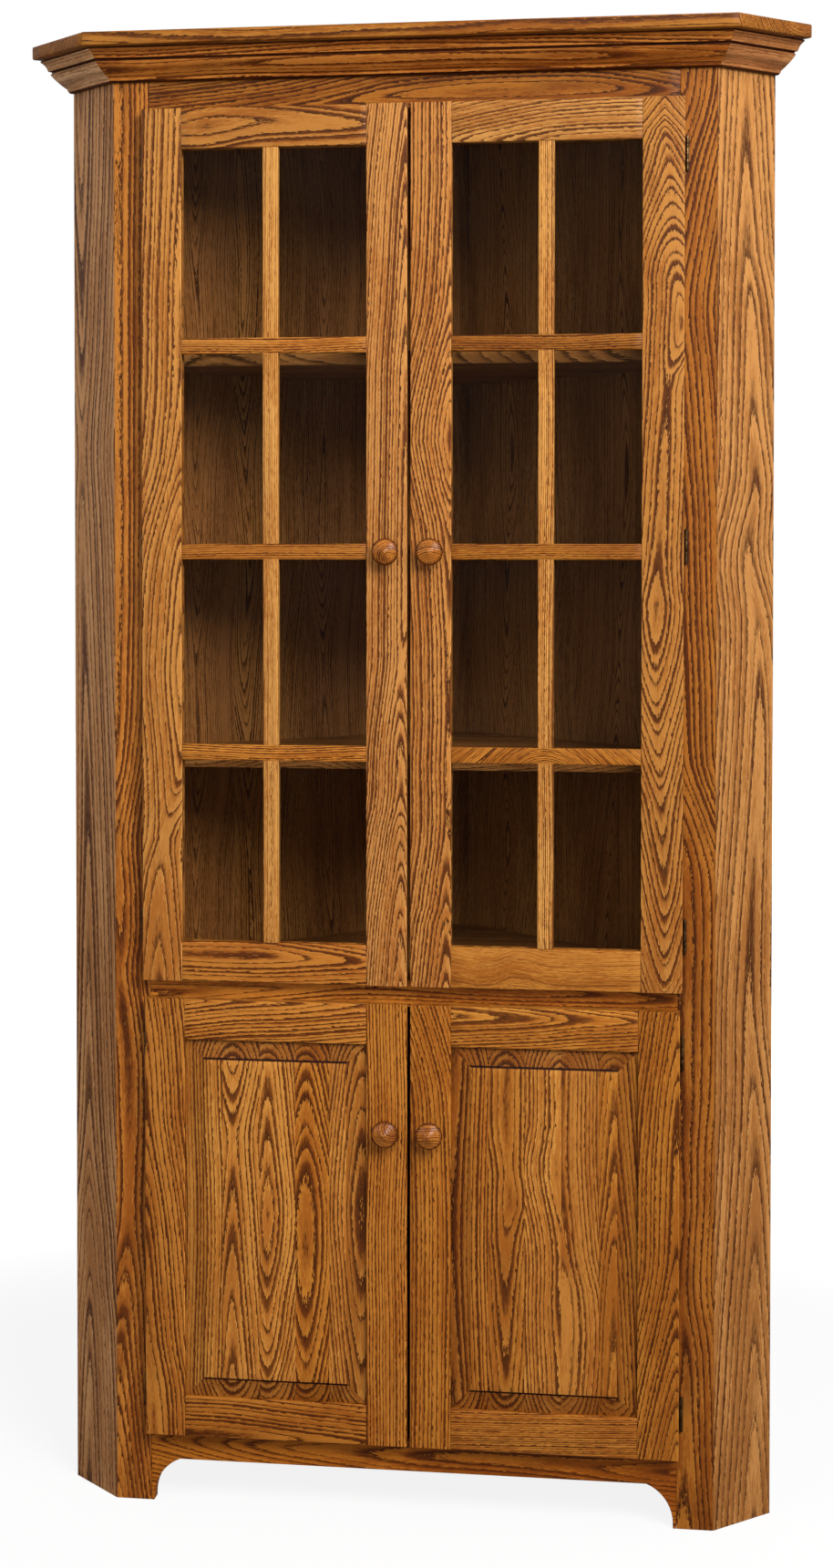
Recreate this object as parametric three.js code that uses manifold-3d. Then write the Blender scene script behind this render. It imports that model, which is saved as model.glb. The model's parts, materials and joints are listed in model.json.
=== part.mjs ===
// Corner cupboard in stained oak. A five-sided carcass stands in the corner of a room. Its front is
// a face frame with a canted return at each side, under a cap board and a mitred crown moulding.
// Two glazed doors with lattice bars close the upper part, two raised-panel doors the lower part.
//
// Millimetres, Z up. X runs to the right seen from the front, Y from the front to the corner of the
// room. Pieces are drawn with the front of the face frame at Y = 0. At the end the cupboard is moved
// so that its origin lies under the middle of its box.

import * as THREE from 'three';
import { mergeVertices } from 'three/addons/utils/BufferGeometryUtils.js';
import Module from 'manifold-3d';

const wasm = await Module();
wasm.setup();

// Overall
const totalHeight = 2083;
const faceHalfWidth = 424; // from the middle to the arris where a return begins
const returnDepth = 78.5; // what a return takes up sideways, and in depth, at 45 degrees
const boardThickness = 19;
const fitGap = 0.3; // left between glued or seated pieces
const cutOverrun = 2; // how far a cutting shape passes the face that it opens

// Back
const backThickness = 6.4;
const backSetback = 0.6; // in from the wall, so that the returns' edges touch it first
const backLift = 62; // the back panels stop above the skirting
const backRabbet = 9.5; // how far a back panel laps on a return or on the post
const postFace = 45; // along each wall
const postDepth = 28;
const postClip = 14; // the post's rear arris is planed off

// Face frame
const faceStileWidth = 50.8;
const topRailHeight = 88.3;
const midRailHeight = 38.1;
const bottomRailHeight = 47.2;
const apronRise = 61; // from the floor to the underside of the bottom rail
const lowerOpeningHeight = 611.3;
const tenonLength = 22;
const tenonThickness = 6.4;
const tenonShoulder = 6; // at the top and bottom of a tenon

// Bracket ends of the bottom rail
const bracketTip = 4.5; // width on the floor
const bracketTipEase = 3;
const bracketTipRise = 6.9; // straight part below the curve
const bracketSweep = THREE.MathUtils.degToRad(69);

// Cap and crown
const capThickness = 19;
const capOverhang = 68;
const capEase = 2.2;
const crownHeight = 41.3;
const crownProjection = 55;

// Decks and shelves
const shelfThickness = 19;
const shelfSetback = 46; // from the front of the face frame
const housingDepth = 6; // dado in the returns
const shelfEase = 1.5;

// Doors, all
const doorThickness = 19;
const doorMember = 57; // width of the stiles and rails
const doorStandoff = 1.9; // between a closed door and the face frame
const doorMeetingGap = 5;
const doorEase = 1.8;
const upperOverlay = 6.2;
const lowerOverlay = 3.2;
const endOverlay = 6; // at the top and bottom of a door

// Glazed doors
const glassLip = 8; // wood in front of the rabbet
const glassRabbet = 9.5;
const latticeWidth = 22;
const latticeTongue = 4; // the part of a bar behind the lip
const latticeEase = 1.2;
const leftLatticeShift = 4; // the left door's upright bar is off centre, away from the middle
const paneThickness = 3;
const panePlay = 1.5;

// Panelled doors
const grooveLip = 6.5; // wood in front of the groove
const grooveWidth = 6.4;
const grooveDepth = 9.5;
const panelPlay = 1.5; // room for the panel to swell
const panelBevel = 28;
const panelShoulder = 1.8;
const panelRecess = 0.8; // field behind the front of the door

// Knobs
const knobRadius = 19;
const knobProjection = 30;
const knobScrewRadius = 2.2;
const knobScrewHeadRadius = 4.5;
const knobScrewHead = 2;
const lowerKnobShare = 0.713; // height on the lower door

// Hinges
const hingeLength = 47;
const knuckleRadius = 2.4;
const pinRadius = 1.3;
const pinPlay = 0.3;
const pinHeadRadius = 2;
const pinHeadHeight = 1.1;
const hingeAxisOut = 3.2; // outside the door's edge
const hingeAxisFront = 3.2; // in front of the face frame
const leafThickness = 0.55;
const frameLeafWrap = 15; // down the edge of the opening
const doorLeafWidth = 24;
const upperHingeInset = 76; // from the end of the door to the middle of the hinge
const lowerHingeInset = 60;

// Heights of the lattice bars' centres and of the shelves' undersides, as shares of the glass height
const latticeShares = [0.2402, 0.4935, 0.7521];
const upperShelfShares = [0.2158, 0.4846, 0.731];
const lowerShelfShare = 0.5; // of the lower opening's height

// Crown profile from the top out and down, as shares of the projection and of the height. A row of
// two points is a curve that bends towards the first and ends at the second.
const crownProfileShares = [
  [[1, 0]],
  [[1, 0.05]],
  [[0.83, 0.12], [0.77, 0.33]],
  [[0.66, 0.34]],
  [[0.66, 0.4]],
  [[0.71, 0.41]],
  [[0.6, 0.59], [0.236, 0.847]],
  [[0.2, 0.86]],
  [[0.17, 0.97], [0.1, 1]],
];

// Knob profile from the door outwards, as shares of the radius and of the projection, in the same form
const knobProfileShares = [
  [[0.56, 0]],
  [[0.6, 0.1], [0.47, 0.22]],
  [[0.36, 0.36], [0.6, 0.46]],
  [[1, 0.5], [1, 0.64]],
  [[0.98, 0.84], [0.55, 0.96]],
];

// Worked out from the sizes above
const mitreSlope = Math.tan(Math.PI / 8);
const mitreGap = fitGap / 2 / Math.cos(Math.PI / 8);
const cornerDepth = faceHalfWidth + 2 * returnDepth; // from the face frame to the corner of the room
const rearFace = cornerDepth - postClip;
const returnWidth = returnDepth * Math.SQRT2;
const wallLength = (faceHalfWidth + returnDepth) * Math.SQRT2;
const capUnderside = totalHeight - capThickness;
const openingHalf = faceHalfWidth - faceStileWidth;
const lowerOpeningBottom = apronRise + bottomRailHeight;
const lowerOpeningTop = lowerOpeningBottom + lowerOpeningHeight;
const upperOpeningBottom = lowerOpeningTop + midRailHeight;
const upperOpeningTop = capUnderside - topRailHeight;
const doorBack = -doorStandoff;
const doorFront = doorBack - doorThickness;
const lockEdge = doorMeetingGap / 2;
const postFront = cornerDepth - (postFace + postDepth) / Math.SQRT2;

const upperDoor = {
  prefix: 'upper',
  edge: openingHalf + upperOverlay,
  bottom: upperOpeningBottom - endOverlay,
  top: upperOpeningTop + endOverlay,
  hingeInset: upperHingeInset,
  hingeCount: 3,
};
const lowerDoor = {
  prefix: 'lower',
  edge: openingHalf + lowerOverlay,
  bottom: lowerOpeningBottom - endOverlay,
  top: lowerOpeningTop + endOverlay,
  hingeInset: lowerHingeInset,
  hingeCount: 2,
};
const glassBottom = upperDoor.bottom + doorMember;
const glassHeight = upperDoor.top - doorMember - glassBottom;
const latticeHeights = latticeShares.map((share) => glassBottom + share * glassHeight);
const upperShelfHeights = upperShelfShares.map((share) => glassBottom + share * glassHeight);
const lowerShelfHeight = lowerOpeningBottom + lowerShelfShare * lowerOpeningHeight;
const midDeckHeight = upperOpeningBottom - shelfThickness;
const bottomDeckHeight = lowerOpeningBottom - shelfThickness;
const housedHeights = [bottomDeckHeight, lowerShelfHeight, midDeckHeight, ...upperShelfHeights];
const knobHeights = {
  upper: latticeHeights[1],
  lower: lowerDoor.bottom + lowerKnobShare * (lowerDoor.top - lowerDoor.bottom),
};

const cupboard = new THREE.Group();

const finishes = {
  faceOak: { color: 0x9c5f2c, roughness: 0.45, metalness: 0 },
  doorOak: { color: 0xbf8244, roughness: 0.42, metalness: 0 },
  returnOak: { color: 0xb0763f, roughness: 0.45, metalness: 0 },
  insideOak: { color: 0x5a3418, roughness: 0.55, metalness: 0 },
  knobOak: { color: 0x8a5023, roughness: 0.35, metalness: 0 },
  glass: { color: 0xdfe8e6, roughness: 0.05, metalness: 0, transparent: true, opacity: 0.3 },
  hingeBrass: { color: 0x7d6033, roughness: 0.4, metalness: 0.9 },
};

function addPiece(name, geometry, finish) {
  const mesh = new THREE.Mesh(geometry, new THREE.MeshStandardMaterial(finishes[finish]));
  mesh.name = name;
  cupboard.add(mesh);
}

// Solids

function solidOf(geometry) {
  const bare = geometry.clone();
  bare.deleteAttribute('normal');
  bare.deleteAttribute('uv');
  const welded = mergeVertices(bare);
  return new wasm.Manifold(new wasm.Mesh({
    numProp: 3,
    vertProperties: new Float32Array(welded.attributes.position.array),
    triVerts: new Uint32Array(welded.index.array),
  }));
}

function geometryOf(solid) {
  const { vertProperties, triVerts } = solid.getMesh();
  const geometry = new THREE.BufferGeometry();
  geometry.setAttribute('position', new THREE.BufferAttribute(new Float32Array(vertProperties), 3));
  geometry.setIndex(new THREE.BufferAttribute(new Uint32Array(triVerts), 1));
  geometry.computeVertexNormals();
  return geometry;
}

const joined = (...geometries) => geometries.map(solidOf).reduce((whole, next) => whole.add(next));
const without = (whole, cuts) => cuts.map(solidOf).reduce((rest, cut) => rest.subtract(cut), whole);

// Outlines

// An outline through corners [a, b] or [a, b, ease], where a corner with an ease is rounded
function outlineOf(corners) {
  const shape = new THREE.Shape();
  const spot = (index) => new THREE.Vector2(...corners.at(index % corners.length).slice(0, 2));
  corners.forEach(([, , ease = 0], index) => {
    const corner = spot(index);
    const start = spot(index - 1).sub(corner).setLength(ease).add(corner);
    const end = spot(index + 1).sub(corner).setLength(ease).add(corner);
    if (index === 0) shape.moveTo(start.x, start.y);
    else shape.lineTo(start.x, start.y);
    if (ease > 0) shape.quadraticCurveTo(corner.x, corner.y, end.x, end.y);
  });
  return shape;
}

const rectangle = (a0, a1, b0, b1, ease = 0) => [
  [a0, b0, ease], [a1, b0, ease], [a1, b1, ease], [a0, b1, ease],
];

const mirrored = (corners, side) => corners.map(([x, ...rest]) => [side * x, ...rest]);

// Draws the rows of a profile of shares on a shape, outwards along a and downwards or along b
function followProfile(shape, rows, a, b) {
  rows.forEach((row) => {
    const points = row.flatMap(([shareA, shareB]) => [shareA * a, shareB * b]);
    if (row.length === 1) shape.lineTo(...points);
    else shape.quadraticCurveTo(...points);
  });
}

// Boards: an outline in plan, on the face or in section, carried between two places on the third axis

const unitX = new THREE.Vector3(1, 0, 0);
const unitY = new THREE.Vector3(0, 1, 0);
const unitZ = new THREE.Vector3(0, 0, 1);
const faceBasis = new THREE.Matrix4().makeBasis(unitX, unitZ, unitY.clone().negate());
const sectionBasis = new THREE.Matrix4().makeBasis(unitY, unitZ, unitX);

const easeSteps = 3;
const curveSteps = 8;
const hingeSides = 12;
const knobSides = 24;

function extruded(outline, depth) {
  const drawn = outline instanceof THREE.Shape;
  const shape = drawn ? outline : outlineOf(outline);
  const curveSegments = drawn ? curveSteps : easeSteps;
  return new THREE.ExtrudeGeometry(shape, { depth, bevelEnabled: false, curveSegments });
}

// An outline in plan [x, y], standing from bottom to top
const standing = (outline, bottom, top) => extruded(outline, top - bottom).translate(0, 0, bottom);

// An outline on the face [x, z], from front to back
const facing = (outline, front, back) => (
  extruded(outline, back - front).applyMatrix4(faceBasis).translate(0, back, 0)
);

// A section [y, z], lying from left to right
const lying = (section, left, right) => (
  extruded(section, right - left).applyMatrix4(sectionBasis).translate(left, 0, 0)
);

// Plan of the cupboard

// A point on the right return: along it from the front arris, and in from its outer face
const onReturn = (along, inward) => [
  faceHalfWidth + (along - inward) / Math.SQRT2,
  (along + inward) / Math.SQRT2,
];

// A point by the right wall: along it from the corner of the room, and out from the wall
const byWall = (along, out) => [
  (along - out) / Math.SQRT2,
  cornerDepth - (along + out) / Math.SQRT2,
];

// A whole board in plan: its front edge, how far it lies inside the returns' outer faces and the
// walls, and its rear edge across the corner
function planOutline({ front, side, wall, rear }, ease = 0) {
  const right = [
    [faceHalfWidth - side * Math.SQRT2 + front, front, ease],
    [
      faceHalfWidth + returnDepth - (side + wall) / Math.SQRT2,
      returnDepth + (side - wall) / Math.SQRT2,
    ],
    [cornerDepth - wall * Math.SQRT2 - rear, rear],
  ];
  return [...right, ...mirrored(right, -1).reverse()];
}

// Back

const backInnerFace = backSetback + backThickness;

function buildBack() {
  const panelPlan = [
    byWall(postFace - backRabbet + fitGap, backSetback),
    byWall(wallLength - boardThickness + backRabbet - fitGap, backSetback),
    byWall(wallLength - boardThickness + backRabbet - fitGap, backInnerFace),
    byWall(postFace - backRabbet + fitGap, backInnerFace),
  ];
  [['left', -1], ['right', 1]].forEach(([name, side]) => {
    const panel = standing(mirrored(panelPlan, side), backLift, capUnderside - fitGap);
    addPiece(`${name}_back_panel`, panel, 'insideOak');
  });

  const postSide = [
    byWall(postFace, postDepth),
    byWall(postFace, backInnerFace + fitGap),
    byWall(postFace - backRabbet, backInnerFace + fitGap),
    byWall(postFace - backRabbet, 0),
    [postClip, rearFace],
  ];
  const postPlan = [...postSide, ...mirrored(postSide, -1).reverse()];
  addPiece('corner_post', standing(postPlan, 0, capUnderside - fitGap), 'insideOak');
}

// Returns, housed for the decks and shelves

function buildReturns() {
  const plan = [
    onReturn(mitreGap, 0),
    onReturn(returnWidth, 0),
    onReturn(returnWidth, boardThickness - backRabbet),
    onReturn(returnWidth - backInnerFace - fitGap, boardThickness - backRabbet),
    onReturn(returnWidth - backInnerFace - fitGap, boardThickness),
    onReturn(boardThickness * mitreSlope + mitreGap, boardThickness),
  ];
  const housingPlan = [
    onReturn(-cutOverrun, boardThickness - housingDepth),
    onReturn(returnWidth + cutOverrun, boardThickness - housingDepth),
    onReturn(returnWidth + cutOverrun, boardThickness + cutOverrun),
    onReturn(-cutOverrun, boardThickness + cutOverrun),
  ];
  [['left', -1], ['right', 1]].forEach(([name, side]) => {
    const board = solidOf(standing(mirrored(plan, side), 0, capUnderside - fitGap));
    const housings = housedHeights.map((height) => standing(
      mirrored(housingPlan, side),
      height - fitGap,
      height + shelfThickness + fitGap,
    ));
    addPiece(`${name}_return`, geometryOf(without(board, housings)), 'returnOak');
  });
}

// Face frame

const railSpans = {
  top_rail: [upperOpeningTop, capUnderside - fitGap],
  mid_rail: [lowerOpeningTop, upperOpeningBottom],
  bottom_rail: [apronRise, lowerOpeningBottom],
};

// The tenon of a rail, or its mortise when play is taken off its gap
function tenon([bottom, top], inner, outer, play) {
  const front = (boardThickness - tenonThickness) / 2;
  return lying(
    rectangle(
      front - play,
      front + tenonThickness + play,
      bottom + tenonShoulder - play,
      top - tenonShoulder + play,
    ),
    inner,
    outer,
  );
}

// The frame's half of a hinge: a leaf folded round the edge of the opening, and a knuckle at each end
function frameLeaf(side, doorEdge, height) {
  const bottom = height - hingeLength / 2;
  const third = hingeLength / 3;
  const axis = doorEdge + hingeAxisOut;
  const neckFront = knuckleRadius - hingeAxisFront - leafThickness;
  const plate = mirrored([
    [openingHalf - leafThickness, -leafThickness],
    [doorEdge, -leafThickness],
    [doorEdge, leafThickness],
    [openingHalf + leafThickness, leafThickness],
    [openingHalf + leafThickness, frameLeafWrap],
    [openingHalf - leafThickness, frameLeafWrap],
  ], side);
  const neck = mirrored([
    [doorEdge - leafThickness, -leafThickness],
    [axis - knuckleRadius, -leafThickness],
    [axis - knuckleRadius, neckFront],
    [axis + pinRadius, neckFront],
    [axis + pinRadius, leafThickness],
    [doorEdge - leafThickness, leafThickness],
  ], side);
  const ends = [bottom, bottom + 2 * third];
  const metal = joined(
    standing(plate, bottom, bottom + hingeLength),
    ...ends.map((start) => standing(neck, start, start + third)),
    ...ends.map((start) => rod(knuckleRadius, side * axis, start, start + third)),
  );
  const bores = ends.map((start) => (
    rod(pinRadius + pinPlay, side * axis, start - cutOverrun, start + third + cutOverrun)
  ));
  return without(metal, bores);
}

// A round rod on a hinge's axis
const rod = (radius, x, bottom, top) => (
  new THREE.CylinderGeometry(radius, radius, top - bottom, hingeSides)
    .rotateX(Math.PI / 2)
    .translate(x, -hingeAxisFront, (bottom + top) / 2)
);

function hingeHeights({ bottom, top, hingeInset, hingeCount }) {
  const first = bottom + hingeInset;
  const step = (top - hingeInset - first) / (hingeCount - 1);
  return Array.from({ length: hingeCount }, (_, index) => first + index * step);
}

function buildFaceFrame() {
  const stilePlan = [
    [openingHalf, 0],
    [faceHalfWidth - mitreGap, 0],
    [faceHalfWidth - boardThickness * mitreSlope - mitreGap, boardThickness],
    [openingHalf, boardThickness],
  ];
  [['left', -1], ['right', 1]].forEach(([name, side]) => {
    const board = solidOf(standing(mirrored(stilePlan, side), 0, capUnderside - fitGap));
    const ends = [openingHalf - cutOverrun, openingHalf + tenonLength + fitGap];
    const [inner, outer] = side > 0 ? ends : ends.map((x) => -x).reverse();
    const mortises = Object.values(railSpans).map((span) => tenon(span, inner, outer, fitGap));
    const leaves = [upperDoor, lowerDoor].flatMap((door) => (
      hingeHeights(door).map((height) => frameLeaf(side, door.edge, height))
    ));
    const stile = leaves.reduce((whole, leaf) => whole.add(leaf), without(board, mortises));
    addPiece(`${name}_face_stile`, geometryOf(stile), 'faceOak');
  });

  const reach = openingHalf - fitGap;
  ['top_rail', 'mid_rail'].forEach((name) => {
    const [bottom, top] = railSpans[name];
    const board = lying(rectangle(0, boardThickness, bottom, top), -reach, reach);
    const ends = tenon(railSpans[name], -openingHalf - tenonLength, openingHalf + tenonLength, 0);
    addPiece(name, geometryOf(joined(board, ends)), 'faceOak');
  });

  const ends = tenon(railSpans.bottom_rail, -openingHalf - tenonLength, openingHalf + tenonLength, 0);
  const board = facing(apronOutline(reach), 0, boardThickness);
  addPiece('bottom_rail', geometryOf(joined(board, ends)), 'faceOak');
}

// The bottom rail on the face: straight above, with a bracket curved down to the floor at each end
function apronOutline(reach) {
  const radius = (apronRise - bracketTipRise) / Math.sin(bracketSweep);
  const ease = Math.min(bracketTipEase, bracketTipRise, bracketTip / 2);
  const tip = reach - bracketTip;
  const centre = tip - radius;
  const foot = centre + radius * Math.cos(bracketSweep);
  const shape = new THREE.Shape();
  shape.moveTo(-reach, lowerOpeningBottom);
  shape.lineTo(-reach, 0);
  shape.lineTo(-tip - ease, 0);
  shape.quadraticCurveTo(-tip, 0, -tip, ease);
  shape.absarc(-centre, bracketTipRise, radius, Math.PI, Math.PI - bracketSweep, true);
  shape.lineTo(-foot, apronRise);
  shape.lineTo(foot, apronRise);
  shape.absarc(centre, bracketTipRise, radius, bracketSweep, 0, true);
  shape.lineTo(tip, ease);
  shape.quadraticCurveTo(tip, 0, tip + ease, 0);
  shape.lineTo(reach, 0);
  shape.lineTo(reach, lowerOpeningBottom);
  return shape;
}

// Decks and shelves, housed in the returns and nailed through the back panels

function buildShelves() {
  const fit = {
    side: boardThickness - housingDepth + fitGap,
    wall: backInnerFace + fitGap,
    rear: postFront - fitGap,
  };
  const deckPlan = planOutline({ front: boardThickness + fitGap, ...fit });
  const shelfPlan = planOutline({ front: shelfSetback, ...fit });
  const boards = [
    ['bottom_deck', deckPlan, bottomDeckHeight],
    ['mid_deck', deckPlan, midDeckHeight],
    ['lower_shelf', shelfPlan, lowerShelfHeight],
    ...upperShelfHeights.map((height, index) => [`upper_shelf_${index + 1}`, shelfPlan, height]),
  ];
  boards.forEach(([name, plan, height]) => {
    addPiece(name, standing(plan, height, height + shelfThickness), 'insideOak');
  });
}

// Cap board and crown

function buildCap() {
  const plan = planOutline({
    front: capEase - capOverhang,
    side: capEase - capOverhang,
    wall: capEase,
    rear: rearFace - capEase,
  });
  const board = new THREE.ExtrudeGeometry(outlineOf(plan), {
    depth: capThickness - 2 * capEase,
    bevelSize: capEase,
    bevelThickness: capEase,
    bevelSegments: 2,
  });
  addPiece('top_cap', board.translate(0, 0, capUnderside + capEase), 'faceOak');
}

function crownProfile() {
  const shape = new THREE.Shape();
  shape.moveTo(fitGap, 0);
  followProfile(shape, crownProfileShares, crownProjection, -crownHeight);
  shape.lineTo(fitGap, -crownHeight);
  return shape;
}

// A length of crown on a face that looks outward. Its ends lie at from and to, along the face from
// the origin, each a distance and how much that grows with the projection.
function crownLength(origin, outward, from, to) {
  const along = outward.clone().cross(unitZ);
  const geometry = new THREE.ExtrudeGeometry(crownProfile(), {
    depth: 1,
    bevelEnabled: false,
    curveSegments: 6,
  });
  const place = geometry.attributes.position;
  for (let index = 0; index < place.count; index += 1) {
    const projection = place.getX(index);
    const end = place.getZ(index) > 0 ? to : from;
    const point = origin.clone()
      .addScaledVector(outward, projection)
      .addScaledVector(along, end.distance + end.growth * projection)
      .setZ(capUnderside - fitGap + place.getY(index));
    place.setXYZ(index, ...point.toArray());
  }
  geometry.computeVertexNormals();
  return geometry;
}

function buildCrown() {
  const mitre = (distance, growth) => ({ distance, growth });
  addPiece('front_crown', crownLength(
    new THREE.Vector3(),
    new THREE.Vector3(0, -1, 0),
    mitre(mitreGap - faceHalfWidth, -mitreSlope),
    mitre(faceHalfWidth - mitreGap, mitreSlope),
  ), 'faceOak');
  addPiece('left_crown', crownLength(
    new THREE.Vector3(-faceHalfWidth, 0, 0),
    new THREE.Vector3(-1, -1, 0).normalize(),
    mitre(mitreGap, -mitreSlope),
    mitre(returnWidth, 0),
  ), 'returnOak');
  addPiece('right_crown', crownLength(
    new THREE.Vector3(faceHalfWidth, 0, 0),
    new THREE.Vector3(1, -1, 0).normalize(),
    mitre(-returnWidth, 0),
    mitre(-mitreGap, mitreSlope),
  ), 'returnOak');
}

// Doors. A member is drawn between its outer edge and its inner edge, which faces the glass or panel.

// Section of a glazed door's member [across, y], with a rabbet behind its lip
function glassSection(edge, inner) {
  const back = inner + Math.sign(edge - inner) * glassRabbet;
  return [
    [edge, doorFront, doorEase],
    [edge, doorBack],
    [back, doorBack],
    [back, doorFront + glassLip],
    [inner, doorFront + glassLip],
    [inner, doorFront, doorEase],
  ];
}

// Section of a panelled door's member, grooved for the panel
function panelSection(edge, inner) {
  const bottom = inner + Math.sign(edge - inner) * grooveDepth;
  return [
    [edge, doorFront, doorEase],
    [edge, doorBack],
    [inner, doorBack],
    [inner, doorFront + grooveLip + grooveWidth],
    [bottom, doorFront + grooveLip + grooveWidth],
    [bottom, doorFront + grooveLip],
    [inner, doorFront + grooveLip],
    [inner, doorFront, doorEase],
  ];
}

const turned = (section) => section.map(([across, y, ease]) => [y, across, ease]);

// What a rail holds in the stiles' rabbets or grooves: its depth range and its reach
const railTongues = {
  upper: {
    front: doorFront + glassLip + fitGap,
    back: doorBack,
    reach: glassRabbet - fitGap,
    shoulder: glassRabbet,
  },
  lower: {
    front: doorFront + grooveLip + fitGap,
    back: doorFront + grooveLip + grooveWidth - fitGap,
    reach: grooveDepth - fitGap,
    shoulder: grooveDepth,
  },
};

function doorRail(door, section, edge, inner, left, right) {
  const tongue = railTongues[door.prefix];
  const shoulder = inner + Math.sign(edge - inner) * tongue.shoulder;
  const [low, high] = edge < inner ? [edge, shoulder] : [shoulder, edge];
  return geometryOf(joined(
    lying(turned(section(edge, inner)), left + fitGap, right - fitGap),
    lying(
      rectangle(tongue.front, tongue.back, low, high),
      left - tongue.reach,
      right + tongue.reach,
    ),
  ));
}

// Stiles and rails of a door, named from its prefix and side
function buildDoorFrame(door, side, section) {
  const name = `${door.prefix}_${side < 0 ? 'left' : 'right'}`;
  const knobHole = new THREE.CylinderGeometry(
    knobScrewRadius + fitGap,
    knobScrewRadius + fitGap,
    doorThickness + 2 * cutOverrun,
    hingeSides,
  ).translate(
    side * (lockEdge + doorMember / 2),
    doorBack - doorThickness / 2,
    knobHeights[door.prefix],
  );
  const lockPlan = mirrored(section(lockEdge, lockEdge + doorMember), side);
  const lockStile = without(solidOf(standing(lockPlan, door.bottom, door.top)), [knobHole]);
  addPiece(`${name}_lock_stile`, geometryOf(lockStile), 'doorOak');
  const hingePlan = mirrored(section(door.edge, door.edge - doorMember), side);
  addPiece(`${name}_hinge_stile`, standing(hingePlan, door.bottom, door.top), 'doorOak');

  const inner = [side * (lockEdge + doorMember), side * (door.edge - doorMember)];
  const [left, right] = inner.sort((a, b) => a - b);
  const lowRail = doorRail(door, section, door.bottom, door.bottom + doorMember, left, right);
  const highRail = doorRail(door, section, door.top, door.top - doorMember, left, right);
  addPiece(`${name}_bottom_rail`, lowRail, 'doorOak');
  addPiece(`${name}_top_rail`, highRail, 'doorOak');
  addPiece(`${name}_knob`, knobGeometry(door, side), 'knobOak');
  buildHinges(door, side, name);
  return { name, left, right, bottom: door.bottom + doorMember, top: door.top - doorMember };
}

// Lattice of a glazed door: bars flush with its front, with tongues seated in the rabbets
function latticeGeometry({ left, right, bottom, top }, upright) {
  const face = doorFront + glassLip + latticeTongue;
  const reach = glassRabbet - fitGap;
  const half = latticeWidth / 2;
  const bars = latticeHeights.flatMap((height) => [
    lying(turned(barSection(height)), left + fitGap, right - fitGap),
    lying(
      rectangle(doorFront + glassLip + fitGap, face, height - half, height + half),
      left - reach,
      right + reach,
    ),
  ]);
  return geometryOf(joined(
    ...bars,
    standing(barSection(upright), bottom + fitGap, top - fitGap),
    standing(
      rectangle(upright - half, upright + half, doorFront + glassLip + fitGap, face),
      bottom - reach,
      top + reach,
    ),
  ));
}

const barSection = (centre) => [
  [centre - latticeWidth / 2, doorFront, latticeEase],
  [centre + latticeWidth / 2, doorFront, latticeEase],
  [centre + latticeWidth / 2, doorFront + glassLip + latticeTongue],
  [centre - latticeWidth / 2, doorFront + glassLip + latticeTongue],
];

// The beads behind the glass, joined as one frame
function stopGeometry({ left, right, bottom, top }, front) {
  const reach = glassRabbet - fitGap;
  const ring = outlineOf(rectangle(left - reach, right + reach, bottom - reach, top + reach));
  ring.holes.push(outlineOf(rectangle(left, right, bottom, top)));
  return facing(ring, front, doorBack);
}

function buildUpperDoor(side) {
  const opening = buildDoorFrame(upperDoor, side, glassSection);
  const { name, left, right, bottom, top } = opening;
  const upright = (left + right) / 2 - (side < 0 ? leftLatticeShift : 0);
  addPiece(`${name}_lattice`, latticeGeometry(opening, upright), 'doorOak');

  const play = glassRabbet - panePlay;
  const paneFront = doorFront + glassLip + latticeTongue + fitGap;
  addPiece(`${name}_glass`, facing(
    rectangle(left - play, right + play, bottom - play, top + play),
    paneFront,
    paneFront + paneThickness,
  ), 'glass');
  const stopFront = paneFront + paneThickness + fitGap;
  addPiece(`${name}_glass_stop`, stopGeometry(opening, stopFront), 'doorOak');
}

// Section of a raised panel between two inner edges: field, shoulder, bevel and tongue
function panelProfile(low, high) {
  const reach = grooveDepth - panelPlay;
  const back = doorFront + grooveLip + grooveWidth - fitGap;
  const tongueFront = doorFront + grooveLip + fitGap;
  const field = doorFront + panelRecess;
  const half = (end, inward) => [
    [end - inward * reach, back],
    [end - inward * reach, tongueFront],
    [end, tongueFront],
    [end + inward * panelBevel, field + panelShoulder],
    [end + inward * panelBevel, field],
  ];
  return [...half(low, 1), ...half(high, -1).reverse()];
}

function buildLowerDoor(side) {
  const { name, left, right, bottom, top } = buildDoorFrame(lowerDoor, side, panelSection);
  const across = solidOf(standing(
    panelProfile(left, right),
    bottom - grooveDepth + panelPlay,
    top + grooveDepth - panelPlay,
  ));
  const upright = solidOf(lying(
    turned(panelProfile(bottom, top)),
    left - grooveDepth + panelPlay,
    right + grooveDepth - panelPlay,
  ));
  addPiece(`${name}_panel`, geometryOf(across.intersect(upright)), 'doorOak');
}

// A turned knob with the screw that holds it, from the screw's head behind the door outwards
function knobGeometry(door, side) {
  const wood = new THREE.Path();
  const depth = doorThickness + 2 * fitGap;
  wood.moveTo(0, -depth - knobScrewHead);
  wood.lineTo(knobScrewHeadRadius, -depth - knobScrewHead);
  wood.lineTo(knobScrewHeadRadius, -depth);
  wood.lineTo(knobScrewRadius, -depth);
  wood.lineTo(knobScrewRadius, 0);
  followProfile(wood, knobProfileShares, knobRadius, knobProjection);
  wood.lineTo(0, knobProjection);
  return new THREE.LatheGeometry(wood.getPoints(4), knobSides)
    .rotateX(Math.PI)
    .translate(
      side * (lockEdge + doorMember / 2),
      doorFront - fitGap,
      knobHeights[door.prefix],
    );
}

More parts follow.
